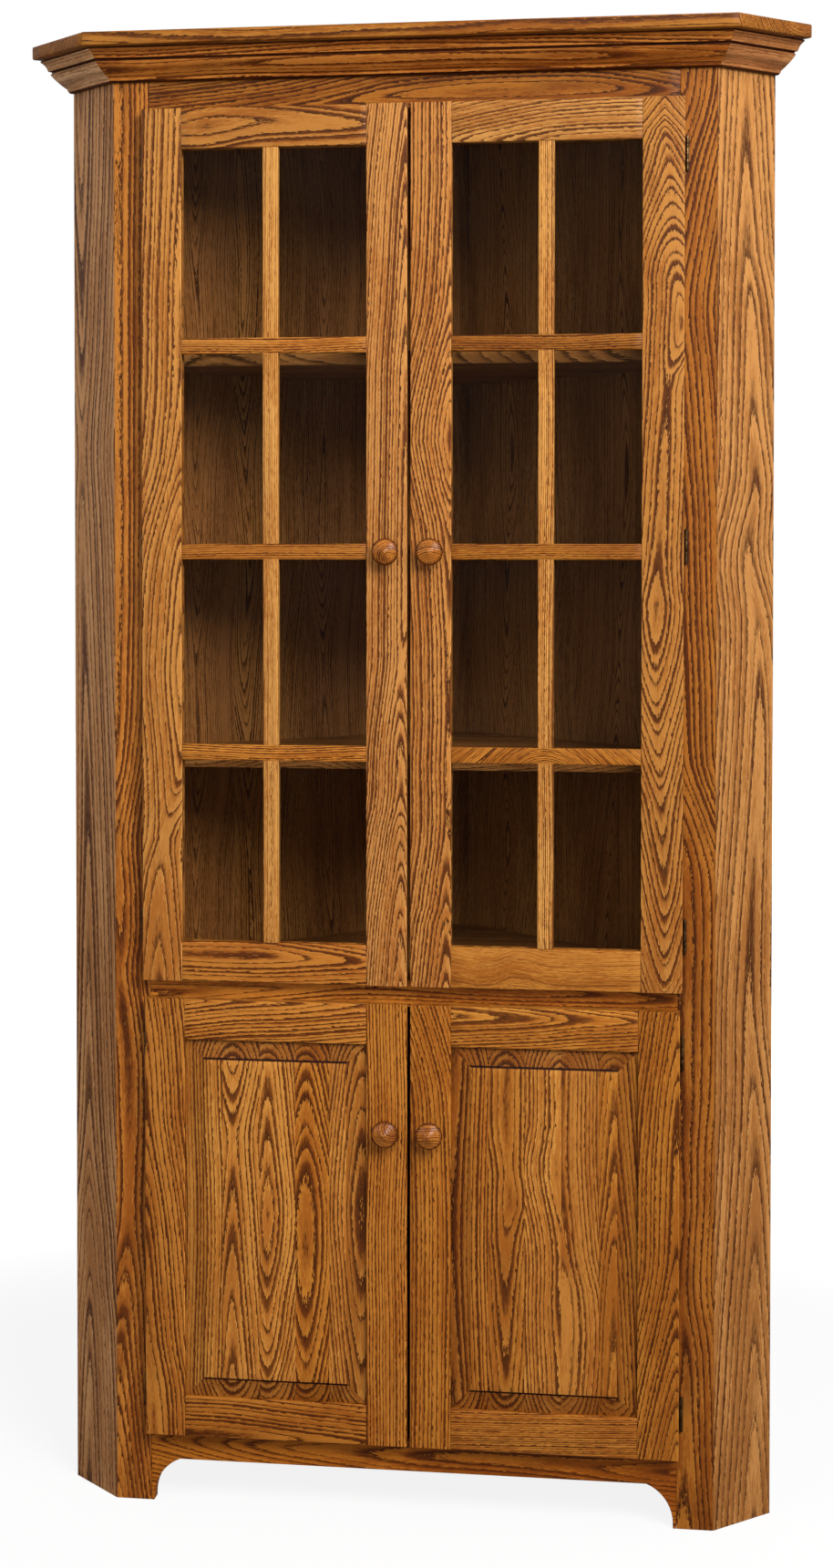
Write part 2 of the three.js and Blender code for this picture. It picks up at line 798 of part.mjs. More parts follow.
// The door's half of each hinge: a leaf on the back of the door, the middle knuckle and the pin
function buildHinges(door, side, name) {
  const third = hingeLength / 3;
  const axis = door.edge + hingeAxisOut;
  const leafFront = doorBack + fitGap;
  const pin = [
    [0, -pinPlay - pinHeadHeight],
    [pinHeadRadius, -pinPlay - pinHeadHeight],
    [pinHeadRadius, -pinPlay],
    [pinRadius, -pinPlay],
    [pinRadius, third + pinPlay],
    [knuckleRadius, third + pinPlay],
    [knuckleRadius, 2 * third - pinPlay],
    [pinRadius, 2 * third - pinPlay],
    [pinRadius, hingeLength + pinPlay],
    [pinHeadRadius, hingeLength + pinPlay],
    [pinHeadRadius, hingeLength + pinPlay + pinHeadHeight],
    [0, hingeLength + pinPlay + pinHeadHeight],
  ].map(([radius, height]) => new THREE.Vector2(radius, height));
  const plate = mirrored(rectangle(
    door.edge - doorLeafWidth,
    door.edge,
    leafFront,
    leafFront + leafThickness,
  ), side);
  const tab = mirrored(rectangle(
    door.edge - leafThickness,
    axis + pinRadius,
    leafFront,
    leafFront + leafThickness,
  ), side);
  hingeHeights(door).forEach((height, index) => {
    const bottom = height - hingeLength / 2;
    const barrel = new THREE.LatheGeometry(pin, hingeSides)
      .rotateX(Math.PI / 2)
      .translate(side * axis, -hingeAxisFront, bottom);
    const hinge = joined(
      barrel,
      standing(plate, bottom, bottom + hingeLength),
      standing(tab, bottom + third + pinPlay, bottom + 2 * third - pinPlay),
    );
    addPiece(`${name}_hinge_${index + 1}`, geometryOf(hinge), 'hingeBrass');
  });
}

buildBack();
buildReturns();
buildFaceFrame();
buildShelves();
buildCap();
buildCrown();
[-1, 1].forEach((side) => {
  buildUpperDoor(side);
  buildLowerDoor(side);
});

cupboard.position.y = (capOverhang - rearFace) / 2;

export default cupboard;
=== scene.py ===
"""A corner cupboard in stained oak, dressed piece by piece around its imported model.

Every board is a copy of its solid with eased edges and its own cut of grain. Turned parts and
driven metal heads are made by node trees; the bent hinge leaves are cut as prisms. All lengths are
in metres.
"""

import json
import logging
import math
import random
from collections.abc import Callable, Iterable, Sequence
from dataclasses import dataclass, field, replace
from enum import Enum
from typing import ClassVar

import bmesh
import bpy
from mathutils import Matrix, Vector

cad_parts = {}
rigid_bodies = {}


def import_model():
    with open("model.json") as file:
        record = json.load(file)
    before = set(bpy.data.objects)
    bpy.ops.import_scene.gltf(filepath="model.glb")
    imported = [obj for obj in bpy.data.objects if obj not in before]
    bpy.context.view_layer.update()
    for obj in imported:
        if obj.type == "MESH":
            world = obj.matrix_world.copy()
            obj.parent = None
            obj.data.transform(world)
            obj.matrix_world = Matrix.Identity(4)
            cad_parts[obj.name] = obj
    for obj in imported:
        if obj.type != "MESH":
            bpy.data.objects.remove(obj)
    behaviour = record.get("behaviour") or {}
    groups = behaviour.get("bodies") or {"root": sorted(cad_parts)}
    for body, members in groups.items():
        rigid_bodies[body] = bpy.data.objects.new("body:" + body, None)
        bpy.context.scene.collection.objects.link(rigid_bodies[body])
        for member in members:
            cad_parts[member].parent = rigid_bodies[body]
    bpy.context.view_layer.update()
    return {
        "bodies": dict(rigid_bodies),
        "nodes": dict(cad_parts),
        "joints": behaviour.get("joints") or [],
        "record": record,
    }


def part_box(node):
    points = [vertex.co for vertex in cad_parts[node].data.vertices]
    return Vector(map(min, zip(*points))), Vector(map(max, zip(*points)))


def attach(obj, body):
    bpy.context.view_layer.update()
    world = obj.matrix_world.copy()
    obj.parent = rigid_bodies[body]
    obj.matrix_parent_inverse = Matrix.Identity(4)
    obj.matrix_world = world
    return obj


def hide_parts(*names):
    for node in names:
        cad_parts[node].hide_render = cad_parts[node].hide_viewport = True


LOG = logging.getLogger("corner_cupboard")
MM = 0.001
FACE = -0.2495  # depth of the face frame's front in the shared frame
OPENING_HALF = 0.3732  # from the middle of the face frame to the edge of its opening

Colour = tuple[float, float, float]
Plane = tuple[Vector, Vector]


def stain(red: int, green: int, blue: int) -> Colour:
    """Gives the linear colour of a stain that was matched.

    Args:
        red: Display value from 0 to 255.
        green: Display value from 0 to 255.
        blue: Display value from 0 to 255.

    Returns:
        The three linear channels.
    """
    shares = (channel / 255 for channel in (red, green, blue))
    return tuple(s / 12.92 if s <= 0.04045 else ((s + 0.055) / 1.055) ** 2.4 for s in shares)


class Side(Enum):
    """The two hands of the cupboard, seen from the front."""

    LEFT = -1
    RIGHT = 1

    @property
    def word(self) -> str:
        """The side's name, as it stands in the names of pieces."""
        return self.name.lower()

    @property
    def rearward(self) -> Vector:
        """The direction along the side's return, from the face to the wall."""
        return Vector((self.value, 1, 0)).normalized()

    @property
    def outward(self) -> Vector:
        """The direction out of the side's return."""
        return Vector((self.value, -1, 0)).normalized()


class Level(Enum):
    """The glazed doors above and the panelled doors below."""

    UPPER = "upper"
    LOWER = "lower"


class Wire:
    """An output socket that takes part in arithmetic: an expression adds its Math nodes."""

    def __init__(self, bench: "Bench", socket: bpy.types.NodeSocket) -> None:
        """Wraps a socket.

        Args:
            bench: The tree that the socket is in.
            socket: The output that is wrapped.
        """
        self.bench = bench
        self.socket = socket

    def math(self, operation: str, *others: "Wire | float") -> "Wire":
        """Adds a Math node that starts from this value.

        Args:
            operation: The node's operation.
            *others: Its second and third values.

        Returns:
            The result.
        """
        values = dict(enumerate((self, *others)))
        return self.bench.node("ShaderNodeMath", {"operation": operation}, values)

    def __add__(self, other: "Wire | float") -> "Wire":
        """Adds another value."""
        return self.math("ADD", other)

    def __sub__(self, other: "Wire | float") -> "Wire":
        """Takes another value away."""
        return self.math("SUBTRACT", other)

    def __rsub__(self, other: float) -> "Wire":
        """Is taken away from a number."""
        number = self.bench.node("ShaderNodeMath", {"operation": "ADD"}, {0: other, 1: 0.0})
        return number.math("SUBTRACT", self)

    def __mul__(self, other: "Wire | float") -> "Wire":
        """Multiplies by another value."""
        return self.math("MULTIPLY", other)

    def __truediv__(self, other: "Wire | float") -> "Wire":
        """Divides by another value."""
        return self.math("DIVIDE", other)

    __radd__ = __add__
    __rmul__ = __mul__

    def ease(self, low: "Wire | float", high: "Wire | float") -> "Wire":
        """Goes smoothly from 0 at one value to 1 at another.

        Args:
            low: Where the rise starts.
            high: Where it ends.

        Returns:
            The eased value.
        """
        return self.bench.node(
            "ShaderNodeMapRange",
            {"interpolation_type": "SMOOTHSTEP"},
            {"Value": self, "From Min": low, "From Max": high},
        )

    def parts(self) -> tuple["Wire", "Wire", "Wire"]:
        """Splits a vector into its three values."""
        outputs = self.bench.node("ShaderNodeSeparateXYZ", {}, {0: self}).socket.node.outputs
        return tuple(Wire(self.bench, output) for output in outputs)


class Bench:
    """Adds nodes to one tree."""

    COARSENESS = 0.55  # of every noise

    def __init__(self, tree: bpy.types.NodeTree) -> None:
        """Takes a tree and clears it.

        Args:
            tree: The tree to build in.
        """
        self.tree = tree
        tree.nodes.clear()

    @classmethod
    def fresh(cls, name: str) -> tuple[bpy.types.Material, "Bench"]:
        """Starts a material.

        Args:
            name: The material's name.

        Returns:
            The material and the bench for its tree.
        """
        material = bpy.data.materials.new(name)
        material.use_nodes = True
        return material, cls(material.node_tree)

    def node(
        self,
        kind: str,
        settings: dict[str, object] | None = None,
        values: dict[str | int, object] | None = None,
        output: str | int = 0,
    ) -> Wire:
        """Adds one node, with its settings made before its sockets are filled.

        Args:
            kind: The node's type.
            settings: Its properties, and the points of a curve.
            values: What its inputs hold or are linked to, by name or place.
            output: The output to give back.

        Returns:
            The chosen output, or an empty wrapper if the node has none.
        """
        node = self.tree.nodes.new(kind)
        for name, value in (settings or {}).items():
            if name == "points":
                self.fill_curve(node.mapping, value)
            else:
                setattr(node, name, value)
        for name, value in (values or {}).items():
            if isinstance(value, Wire):
                self.tree.links.new(value.socket, node.inputs[name])
            else:
                node.inputs[name].default_value = value
        return Wire(self, node.outputs[output] if node.outputs else None)

    @staticmethod
    def fill_curve(mapping: bpy.types.CurveMapping, points: Sequence[tuple[float, float]]) -> None:
        """Sets a float curve's points, joined by straight lines.

        Args:
            mapping: The curve to fill.
            points: Its points, in order.
        """
        curve = mapping.curves[0]
        while len(curve.points) < len(points):
            curve.points.new(0.5, 0.5)
        for point, place in zip(curve.points, points):
            point.location = place
            point.handle_type = "VECTOR"
        mapping.update()

    def vector(self, x: Wire | float, y: Wire | float, z: Wire | float) -> Wire:
        """Joins three values into a vector."""
        return self.node("ShaderNodeCombineXYZ", {}, {0: x, 1: y, 2: z})

    def noise(self, place: Wire, detail: float = 0.0, output: str | int = 0) -> Wire:
        """Adds noise of scale 1.

        Args:
            place: Where it is read.
            detail: How many finer layers it has.
            output: The value or its colour.

        Returns:
            The noise, from 0 to 1 round a half.
        """
        values = {"Vector": place, "Scale": 1.0, "Detail": detail, "Roughness": self.COARSENESS}
        return self.node("ShaderNodeTexNoise", {}, values, output)

    def drift(self, place: Wire) -> Wire:
        """Adds noise along one value, of scale 1."""
        settings = {"noise_dimensions": "1D"}
        return self.node("ShaderNodeTexNoise", settings, {"W": place, "Scale": 1.0, "Detail": 1.0})

    def blend(self, share: Wire | float, base: object, top: object, way: str = "MIX") -> Wire:
        """Mixes two colours.

        Args:
            share: How much of the top colour shows.
            base: The colour underneath.
            top: The colour on top.
            way: How they mix.

        Returns:
            The mixed colour.
        """
        base, top = ((*c, 1.0) if isinstance(c, tuple) else c for c in (base, top))
        settings = {"data_type": "RGBA", "blend_type": way}
        return self.node("ShaderNodeMix", settings, {0: share, 6: base, 7: top}, 2)

    def scaled(self, factor: float) -> Wire:
        """Gives the object's own coordinates, multiplied."""
        values = {0: self.node("ShaderNodeTexCoord", {}, {}, "Object"), "Scale": factor}
        return self.node("ShaderNodeVectorMath", {"operation": "SCALE"}, values)

    def bump(self, strength: float, depth: float, height: Wire) -> Wire:
        """Bends the normal over a relief.

        Args:
            strength: How much of the relief shows.
            depth: How deep it is.
            height: Its height, from 0 to 1.

        Returns:
            The bent normal.
        """
        values = {"Strength": strength, "Distance": depth, "Height": height}
        return self.node("ShaderNodeBump", {}, values)

    def surface(self, values: dict[str, object]) -> None:
        """Ends a material in a principled shader that holds these values."""
        shader = self.node("ShaderNodeBsdfPrincipled", {}, values)
        self.node("ShaderNodeOutputMaterial", {}, {"Surface": shader})


Station = tuple[float, float, float, float]


@dataclass(frozen=True)
class Log:
    """How one board was cut from its log, and the tint that multiplies its colour.

    The stations follow the pith, in millimetres: how far along the board, how far across it from
    its middle, how far behind its face, and which ring the face cuts over the pith there. Where
    that ring is the lowest the board shows an eye, and where it climbs or falls a cathedral.
    """

    rings: float
    stations: tuple[Station, ...]
    contrast: float = 1.0
    # the board's own tone, and on the lower boards also painted shade where the light falls off
    # towards the floor
    tint: Colour = (1.0, 1.0, 1.0)

    def pith(self, along: float) -> tuple[float, float, float]:
        """Follows the pith smoothly between its stations.

        Args:
            along: How far along the board, in millimetres.

        Returns:
            How far across and how far behind the face the pith is, and the ring over it.
        """
        places = [station[0] for station in self.stations]
        last = len(places) - 1
        along = min(max(along, places[0]), places[last])
        left = max(index for index in range(max(last, 1)) if places[index] <= along)
        right = min(left + 1, last)
        gap = places[right] - places[left] or 1.0
        t = (along - places[left]) / gap

        def slope(index: int, value: int) -> float:
            """Gives how steeply a value runs through a station.

            Args:
                index: Which station.
                value: Which of its values.

            Returns:
                The rise over the length between the two stations next to the place.
            """
            low, high = max(index - 1, 0), min(index + 1, last)
            run = places[high] - places[low] or 1.0
            return (self.stations[high][value] - self.stations[low][value]) / run * gap

        ways = (2 * t**3 - 3 * t**2 + 1, t**3 - 2 * t**2 + t, 3 * t**2 - 2 * t**3, t**3 - t**2)
        return tuple(
            ways[0] * self.stations[left][value] + ways[1] * slope(left, value)
            + ways[2] * self.stations[right][value] + ways[3] * slope(right, value)
            for value in (1, 2, 3)
        )


def straight(
    across: float, depth: float, counts: Sequence[tuple[float, float]]
) -> tuple[Station, ...]:
    """Gives the stations of a pith that runs parallel to its board."""
    return tuple((along, across, depth, count) for along, count in counts)


def lattice_logs(side: Side, stains: Sequence[tuple[float, Colour]]) -> tuple[Log, ...]:
    """Cuts the upright of a lattice and its level bars from the lowest up.

    Args:
        side: The door's side.
        stains: The contrast and tint of each bar.

    Returns:
        The four logs.
    """
    hand = side.value
    low, high = sorted((59 * hand, 322 * hand))
    cuts = (
        (2.8, ((808, 34 * hand, 6, 0), (1200, 30 * hand, 6, 0.8), (1500, 36 * hand, 6, 0.2),
               (1925, 32 * hand, 6, 1))),
        (3.2, ((low, -44, 6, 0), (low + 130, 47 * hand, 6, 0.5), (high, -44, 6, 0))),
        (3, ((low, 40, 6, 0), (low + 120, 44, 6, -0.4), (high, 41, 6, 0.5))),
        (3.4, ((low, -38, 6, 0.5), (low + 150, -42, 6, 0), (high, -37, 6, 0.6))),
    )
    return tuple(Log(*cut, *stained) for cut, stained in zip(cuts, stains))


CROWN_RUN = ((-100, -14, 14, 0.3), (60, -10, 14, 0.9), (300, -16, 14, 0.2))

# The boards whose figure is listed one by one, by the name of their node
LOGS: dict[str, tuple[Log, ...]] = {
    "upper_left_hinge_stile": (Log(7, (
        (752, -6, 16, 3.4), (900, -4, 14, 5), (960, 4, 14, 6), (1050, 26, 8, 2.6),
        (1140, 30, 8, 1), (1190, 30, 6, 0.3), (1250, 30, 8, 1), (1335, 30, 8, 2), (1400, 30, 8, 4),
        (1475, 30, 8, 7), (1500, 30, 8, 7.7), (1600, 30, 8, 8.9), (1750, 30, 8, 9.4),
        (1985, 30, 8, 10.4),
    ), 1.15, (1, 1.04, 1.12)),),
    "upper_left_lock_stile": (Log(4.1, (
        (752, 20, 8, -1), (800, 20, 8, 0), (845, 20, 8, 1), (910, 20, 8, 3), (970, 20, 8, 5),
        (1010, 20, 8, 7), (1090, 20, 8, 8), (1200, 21, 8, 10.8), (1260, 27, 8, 9.6),
        (1600, 28, 8, 10.2), (1650, 28, 8, 11), (1700, 28, 8, 12), (1790, 28, 8, 13),
        (1870, 28, 8, 14), (1985, 28, 8, 17),
    ), 1.34, (1.03, 1.08, 1.38)),),
    "upper_right_lock_stile": (Log(5.3, (
        (752, 22, 8, 2), (795, 22, 8, 3), (840, 22, 8, 4), (860, 22, 8, 5), (905, 22, 8, 6),
        (950, 23, 8, 7), (1000, 25, 8, 7.1), (1060, 26, 8, 6.8), (1130, 26, 8, 7.25),
        (1180, 26, 8, 7.1), (1240, 27, 8, 6.8), (1300, 27, 8, 6.2), (1350, 28, 8, 5.7),
        (1400, 29, 8, 4.5), (1450, 30, 8, 2), (1490, 30, 8, 0.5), (1515, 28, 8, 0.15),
        (1560, 30, 8, 0.6), (1620, 30, 8, 3.2), (1700, 30, 8, 6.7), (1850, 30, 8, 8.2),
        (1985, 30, 8, 8.4),
    ), 1.35, (1, 1, 1.15)),),
    "upper_right_hinge_stile": (Log(6, (
        (752, 4, 8, 20.2), (770, 4, 8, 19), (815, 4, 8, 17), (865, 4, 8, 15), (890, 4, 8, 14),
        (930, 2, 8, 13), (970, 0, 9, 12), (1015, -2, 9, 11), (1062, -4, 9, 9), (1112, -6, 9, 7),
        (1155, -8, 9, 5), (1203, -9, 9, 3), (1232, -9, 9, 2), (1255, -9, 9, 1.5),
        (1282, -9, 9, 1.1), (1305, -9, 9, 1.6), (1335, -7, 9, 2.2), (1400, -3, 10, 2.7),
        (1500, 2, 10, 2.8), (1600, 8, 9, 2.9), (1640, 20, 7, 1), (1673, 25, 6, 0.3),
        (1707, 23, 6, 1), (1728, 20, 12, 2), (1752, 18, 16, 3), (1800, 14, 18, 6),
        (1850, 10, 14, 9), (1893, 7, 8, 11), (1930, 2, 4, 13), (1954, 1, 2, 16), (1985, 1, 2, 20),
    ), 1.27, (0.86, 0.86, 0.87)),),
    "left_face_stile": (Log(6.2, (
        (0, -26, 12, -2.5), (100, -26, 12, -0.5), (200, -22, 12, 1.5), (300, -12, 14, 3.8),
        (400, -8, 14, 5.5), (560, -6, 14, 5.3), (640, -8, 12, 5.1), (700, -14, 10, 5),
        (760, -20, 10, 5.5), (810, -18, 12, 5.2), (880, -22, 12, 4.7), (950, -26, 12, 4.6),
        (1000, -28, 10, 3), (1060, -28, 10, 1.2), (1150, -26, 14, 0.75), (1500, -24, 16, 0.7),
        (1800, -22, 16, 0.75), (2064, -22, 16, 0.7),
    ), 1.32, (1.16, 1.16, 1)),),
    "right_face_stile": (Log(7.5, (
        (0, -16, 14, -1.5), (100, -14, 12, -0.5), (250, -12, 10, 0.2), (320, -20, 10, 0.6),
        (370, -25, 10, 0.15), (450, -26, 12, -0.3), (540, -26, 20, 0.1), (620, -26, 34, 0.15),
        (740, -26, 38, 0.3), (900, -26, 34, 0.35), (950, -26, 22, 0.8), (1000, -26, 12, 2.1),
        (1060, -26, 10, 4.7), (1100, -26, 10, 5.2), (1200, -26, 10, 5.6), (1280, -26, 10, 6.2),
        (1400, -26, 10, 6.6), (1480, -26, 10, 7.2), (1600, -26, 10, 8.2), (1700, -26, 10, 9.2),
        (1800, -26, 10, 7.5), (1900, -26, 10, 5), (1985, -26, 10, 2), (2064, -26, 10, 1),
    ), 1.35, (0.9, 0.86, 0.62)),),
    "lower_left_hinge_stile": (Log(6, (
        (102, -14, 14, 0.55), (170, -18, 14, 0.6), (230, -26, 12, 0.8), (290, -28, 10, 1.2),
        (380, -29, 8, 2), (430, -29, 8, 3), (470, -29, 8, 4), (510, -29, 8, 5), (560, -29, 8, 6),
        (600, -29, 8, 6.3), (680, -30, 8, 7), (725, -30, 8, 8),
    ), 1.35, (0.89, 0.81, 0.62)),),
    "lower_left_lock_stile": (Log(4.6, (
        (102, -58, 6, 0.6), (250, -61, 6, 0.2), (400, -60, 6, 0.9), (560, -58, 6, 0.2),
        (725, -60, 6, 0.6),
    ), 1.35, (0.96, 0.86, 0.6)),),
    "lower_right_lock_stile": (Log(6, straight(60, 6, (
        (102, 0.6), (300, 1), (500, 0.8), (600, 0), (660, -2.4), (725, -6),
    )), 1.19, (0.92, 0.83, 0.54)),),
    "lower_right_hinge_stile": (Log(6, (
        (102, 28, 8, -4.5), (200, 28, 8, -1), (300, 27, 8, 3), (370, 26, 8, 5), (420, 26, 10, 5.5),
        (500, 26, 10, 5.7), (560, 26, 8, 6.1), (610, 28, 8, 6.4), (660, 28, 8, 7.6),
        (725, 28, 8, 9.2),
    ), 1.35, (0.84, 0.77, 0.49)),),
    "upper_left_top_rail": (Log(10.5, (
        (-322, -2, 6, 0.7), (-285, 2, 6, 0.3), (-215, 8, 7, 1), (-150, 5, 8, 1.5), (-85, 1, 8, 2),
        (-59, 0, 8, 2.3),
    ), 1.31, (0.81, 0.79, 0.77)),),
    "upper_right_top_rail": (Log(5.2, straight(-28, 8, (
        (59, 6), (80, 5), (105, 4), (135, 3), (165, 2), (200, 1), (250, 0.5), (322, 0.3),
    )), 1.24, (0.94, 1.05, 1.3)),),
    "upper_left_bottom_rail": (Log(6, (
        (-322, 10, 8, 0.3), (-270, 10, 8, 0.1), (-200, 10, 8, 0.2), (-150, 8, 8, 1),
        (-85, 6, 8, 2), (-59, 5, 8, 2.5),
    ), 1.27, (0.92, 0.81, 0.61)),),
    "upper_right_bottom_rail": (Log(2.8, (
        (59, -40, 6, 0), (110, -44, 6, 1.2), (150, -36, 6, -1), (200, -42, 6, 0.6),
        (322, -40, 6, 0),
    ), 0.45, (0.95, 0.9, 0.7)),),
    "lower_left_top_rail": (Log(5.6, (
        (-322, 32, 8, 0), (-240, 31, 8, 2), (-160, 29, 8, 3.2), (-59, 30, 8, 5),
    ), 1.33, (0.99, 0.9, 0.67)),),
    "lower_right_top_rail": (Log(4.6, straight(15, 8, (
        (59, -1), (195, 1), (230, 2), (290, 3), (322, 3.6),
    )), 1.29, (1.05, 1.02, 0.76)),),
    "lower_left_bottom_rail": (Log(6, (
        (-322, -24, 8, 0.1), (-250, -24, 8, 0.2), (-150, -26, 8, 1.2), (-59, -28, 8, 2),
    ), 1.35, (0.82, 0.7, 0.43)),),
    "lower_right_bottom_rail": (Log(3.2, (
        (59, 40, 6, 0), (160, 42, 6, 0.2), (322, 46, 6, 1),
    ), 1.35, (0.97, 0.9, 0.66)),),
    "top_rail": (Log(5.6, (
        (-373, -48, 8, 5.4), (-250, -44, 8, 4.2), (-150, -38, 8, 2.8), (-80, -30, 8, 1.9),
        (-30, -25, 8, 1.1), (40, -22, 9, 0.6), (150, -20, 10, 0.5), (250, -20, 10, 0.7),
        (300, -22, 10, 1.4), (373, -26, 10, 3),
    ), 1.35, (0.81, 0.79, 0.52)),),
    "mid_rail": (Log(5.3, (
        (-373, -10, 10, 0), (-200, 2, 10, 1.2), (-60, 10, 10, 2), (100, 14, 10, 1),
        (250, 6, 10, 2.2), (373, 0, 10, 3.5),
    ), 1.02, (1.4, 1.41, 0.96)),),
    "bottom_rail": (Log(6.3, (
        (-373, 34, 10, 9), (-220, 32, 10, 5), (-60, 29, 10, 3), (20, 30, 10, 2),
        (150, 30, 10, 1.7), (280, 26, 10, 1), (373, 26, 10, 0),
    ), 0.84, (1.03, 0.89, 0.43)),),
    "front_crown": (Log(6, (
        (-492, -8, 22, 0.6), (-365, -6, 20, 1.3), (-240, 0, 18, 1.1), (-120, 2, 18, 0.55),
        (0, 4, 18, 0.5), (120, 2, 18, 0.9), (230, -2, 18, 0.6), (350, -4, 20, 1.4),
        (492, -8, 22, 2),
    ), 1.35, (1.5, 1.47, 1.34)),),
    "left_return": (Log(9.3, (
        (0, 22, 10, -7), (150, 20, 10, -6), (250, 20, 10, -5), (300, 20, 10, -4),
        (390, 20, 10, -3), (430, 20, 10, -2), (480, 20, 10, -1), (560, 20, 10, 0),
        (740, 20, 10, 1), (940, 20, 10, 2), (1200, 28, 10, 3), (1430, 34, 10, 4),
        (1500, 34, 10, 4.6), (1560, 34, 10, 4), (1640, 34, 10, 3), (1770, 34, 10, 2),
        (1870, 34, 10, 1), (2064, 34, 10, 0.3),
    ), 1, (0.88, 0.94, 1.3)),),
    "right_return": (Log(10.2, (
        (0, 24, 12, -4), (250, 24, 12, -2), (500, 24.5, 12, 0), (600, 19.5, 12, 1),
        (755, 10.5, 12, 2), (1110, 29.5, 12, 3), (1260, 24.5, 12, 4), (1355, 4.5, 12, 5),
        (1450, 19.5, 12, 6), (1550, 14.5, 12, 7), (1705, 9.5, 12, 8), (1780, 1.5, 12, 9),
        (2064, -4, 12, 11),
    ), 0.85, (0.81, 0.78, 0.76)),),
    "lower_left_panel": (
        Log(5.2, ((159, 45, 6, 0), (400, 49, 6, 0.6), (668, 45, 6, 0)), 1.35, (1.23, 1.32, 1.29)),
        Log(6, straight(-12, 9, (
            (159, -0.6), (215, 0), (300, 1), (380, 2), (470, 3), (530, 3.5), (560, 3), (590, 2),
            (620, 1), (668, -0.4),
        )), 1.35, (1.1, 1.12, 1.06)),
        Log(5.5, straight(-14, 8, (
            (159, 8), (205, 6), (225, 5), (255, 4), (300, 3), (335, 2), (365, 1), (425, 0.25),
            (485, 1), (545, 2), (668, 4),
        )), 1.31, (1.15, 1.17, 1.09)),
        Log(5.9, (
            (159, -9, 12, 5.2), (208, -9, 12, 4), (245, -9, 14, 3), (294, -9, 16, 2),
            (345, -9, 18, 1.3), (392, -9, 18, 1.12), (440, -9, 18, 1.3), (490, -9, 16, 2),
            (524, -9, 14, 3), (558, -9, 12, 4), (668, -9, 10, 7.5),
        ), 1.35, (0.96, 0.86, 0.56)),
        Log(5.2, (
            (159, 18, 9, 5), (320, 18, 9, 2.2), (430, 18, 10, 0.85), (545, 18, 9, 2.2),
            (668, 18, 9, 5),
        ), 1.35, (1.1, 1.15, 1.09)),
    ),
    "lower_right_panel": (
        Log(5.5, (
            (159, -20, 8, 0), (400, -24, 8, 0.8), (668, -20, 8, 0),
        ), 1.35, (0.92, 0.83, 0.6)),
        Log(6, (
            (159, 0, 10, 4), (230, 0, 10, 3), (340, 0, 10, 2), (410, 0, 10, 1), (430, 3, 9, 0.6),
            (455, 5, 8, 0.1), (500, 3, 9, 0.6), (550, 0, 10, 0.2), (640, 0, 10, 0.1),
            (668, 0, 10, -0.2),
        ), 1.12, (0.88, 0.82, 0.61)),
        Log(5.2, (
            (159, 27, 10, 3), (300, 27, 10, 2), (400, 30, 10, 1.2), (500, 18, 10, 0.2),
            (560, 24, 10, 0.6), (640, 27, 10, 0.1), (668, 27, 10, 0.1),
        ), 1.29, (1.14, 1.2, 1.17)),
        Log(5.2, (
            (159, -24, 20, 1.2), (195, -22, 24, 0.8), (270, -20, 26, 0.6), (340, -22, 22, 0.75),
            (370, -24, 14, 1.2), (500, -27, 10, 2.2), (668, -27, 10, 2),
        ), 0.82, (0.91, 0.86, 0.75)),
        Log(5.5, straight(-9, 8, (
            (159, -2), (300, -1), (395, 0), (450, 1), (520, 2), (668, 4),
        )), 0.98, (0.86, 0.8, 0.54)),
    ),
    "upper_left_knob": (Log(3, ((0, 7, 8, 0.4),)),),
    "upper_right_knob": (Log(3.4, ((0, 2, 30, 0.3),)),),
    "lower_left_knob": (Log(3.6, ((0, 13, -12, 0.2),)),),
    "lower_right_knob": (Log(4.2, ((0, 3, 70, 0.2),)),),
    "upper_left_lattice": lattice_logs(Side.LEFT, (
        (0.65, (1.2, 1.38, 1.7)), (1.29, (1.03, 0.94, 0.65)),
        (1.35, (0.82, 0.71, 0.48)), (1.1, (0.99, 0.94, 0.76)),
    )),
    "upper_right_lattice": lattice_logs(Side.RIGHT, (
        (1.35, (1.24, 1.41, 1.7)), (1.35, (0.97, 0.9, 0.59)),
        (1.35, (0.8, 0.73, 0.45)), (1.35, (0.62, 0.54, 0.3)),
    )),
    "top_cap": tuple(
        Log(2.6, (
            (-560, 30 - 9 * number, 14, 0), (-200, 20, 14, 1.5 + 0.3 * number),
            (150, 26, 14, 0.5), (560, 22 + 4 * number, 14, 2),
        ), 0.95, (0.87, 0.92, 0.76))
        for number in range(5)
    ),
    "left_crown": (Log(5.2, CROWN_RUN, 0.45, (1.36, 1.75, 3.3)),),
    "right_crown": (Log(5.2, CROWN_RUN, 0.45, (1.15, 1.1, 1.37)),),
}


def chance_log(name: str) -> Log:
    """Cuts a board whose figure the eye doesn't settle, the same on every run.

    Args:
        name: What the choice depends on.

    Returns:
        The log.
    """
    chance = random.Random(name)
    tone = chance.uniform(0.82, 1.1)
    across = chance.uniform(-36, 36)
    count = 0.0
    stations = []
    for along in range(-600, 2200, 150):
        count += chance.uniform(-6, 6)
        across += chance.uniform(-12, 12)
        stations.append((along, across, chance.uniform(4, 13), count))
    return Log(
        chance.uniform(2.6, 3.8),
        tuple(stations),
        chance.uniform(0.7, 0.95),
        (tone, tone * chance.uniform(0.97, 1.03), tone * chance.uniform(0.92, 1.05)),
    )


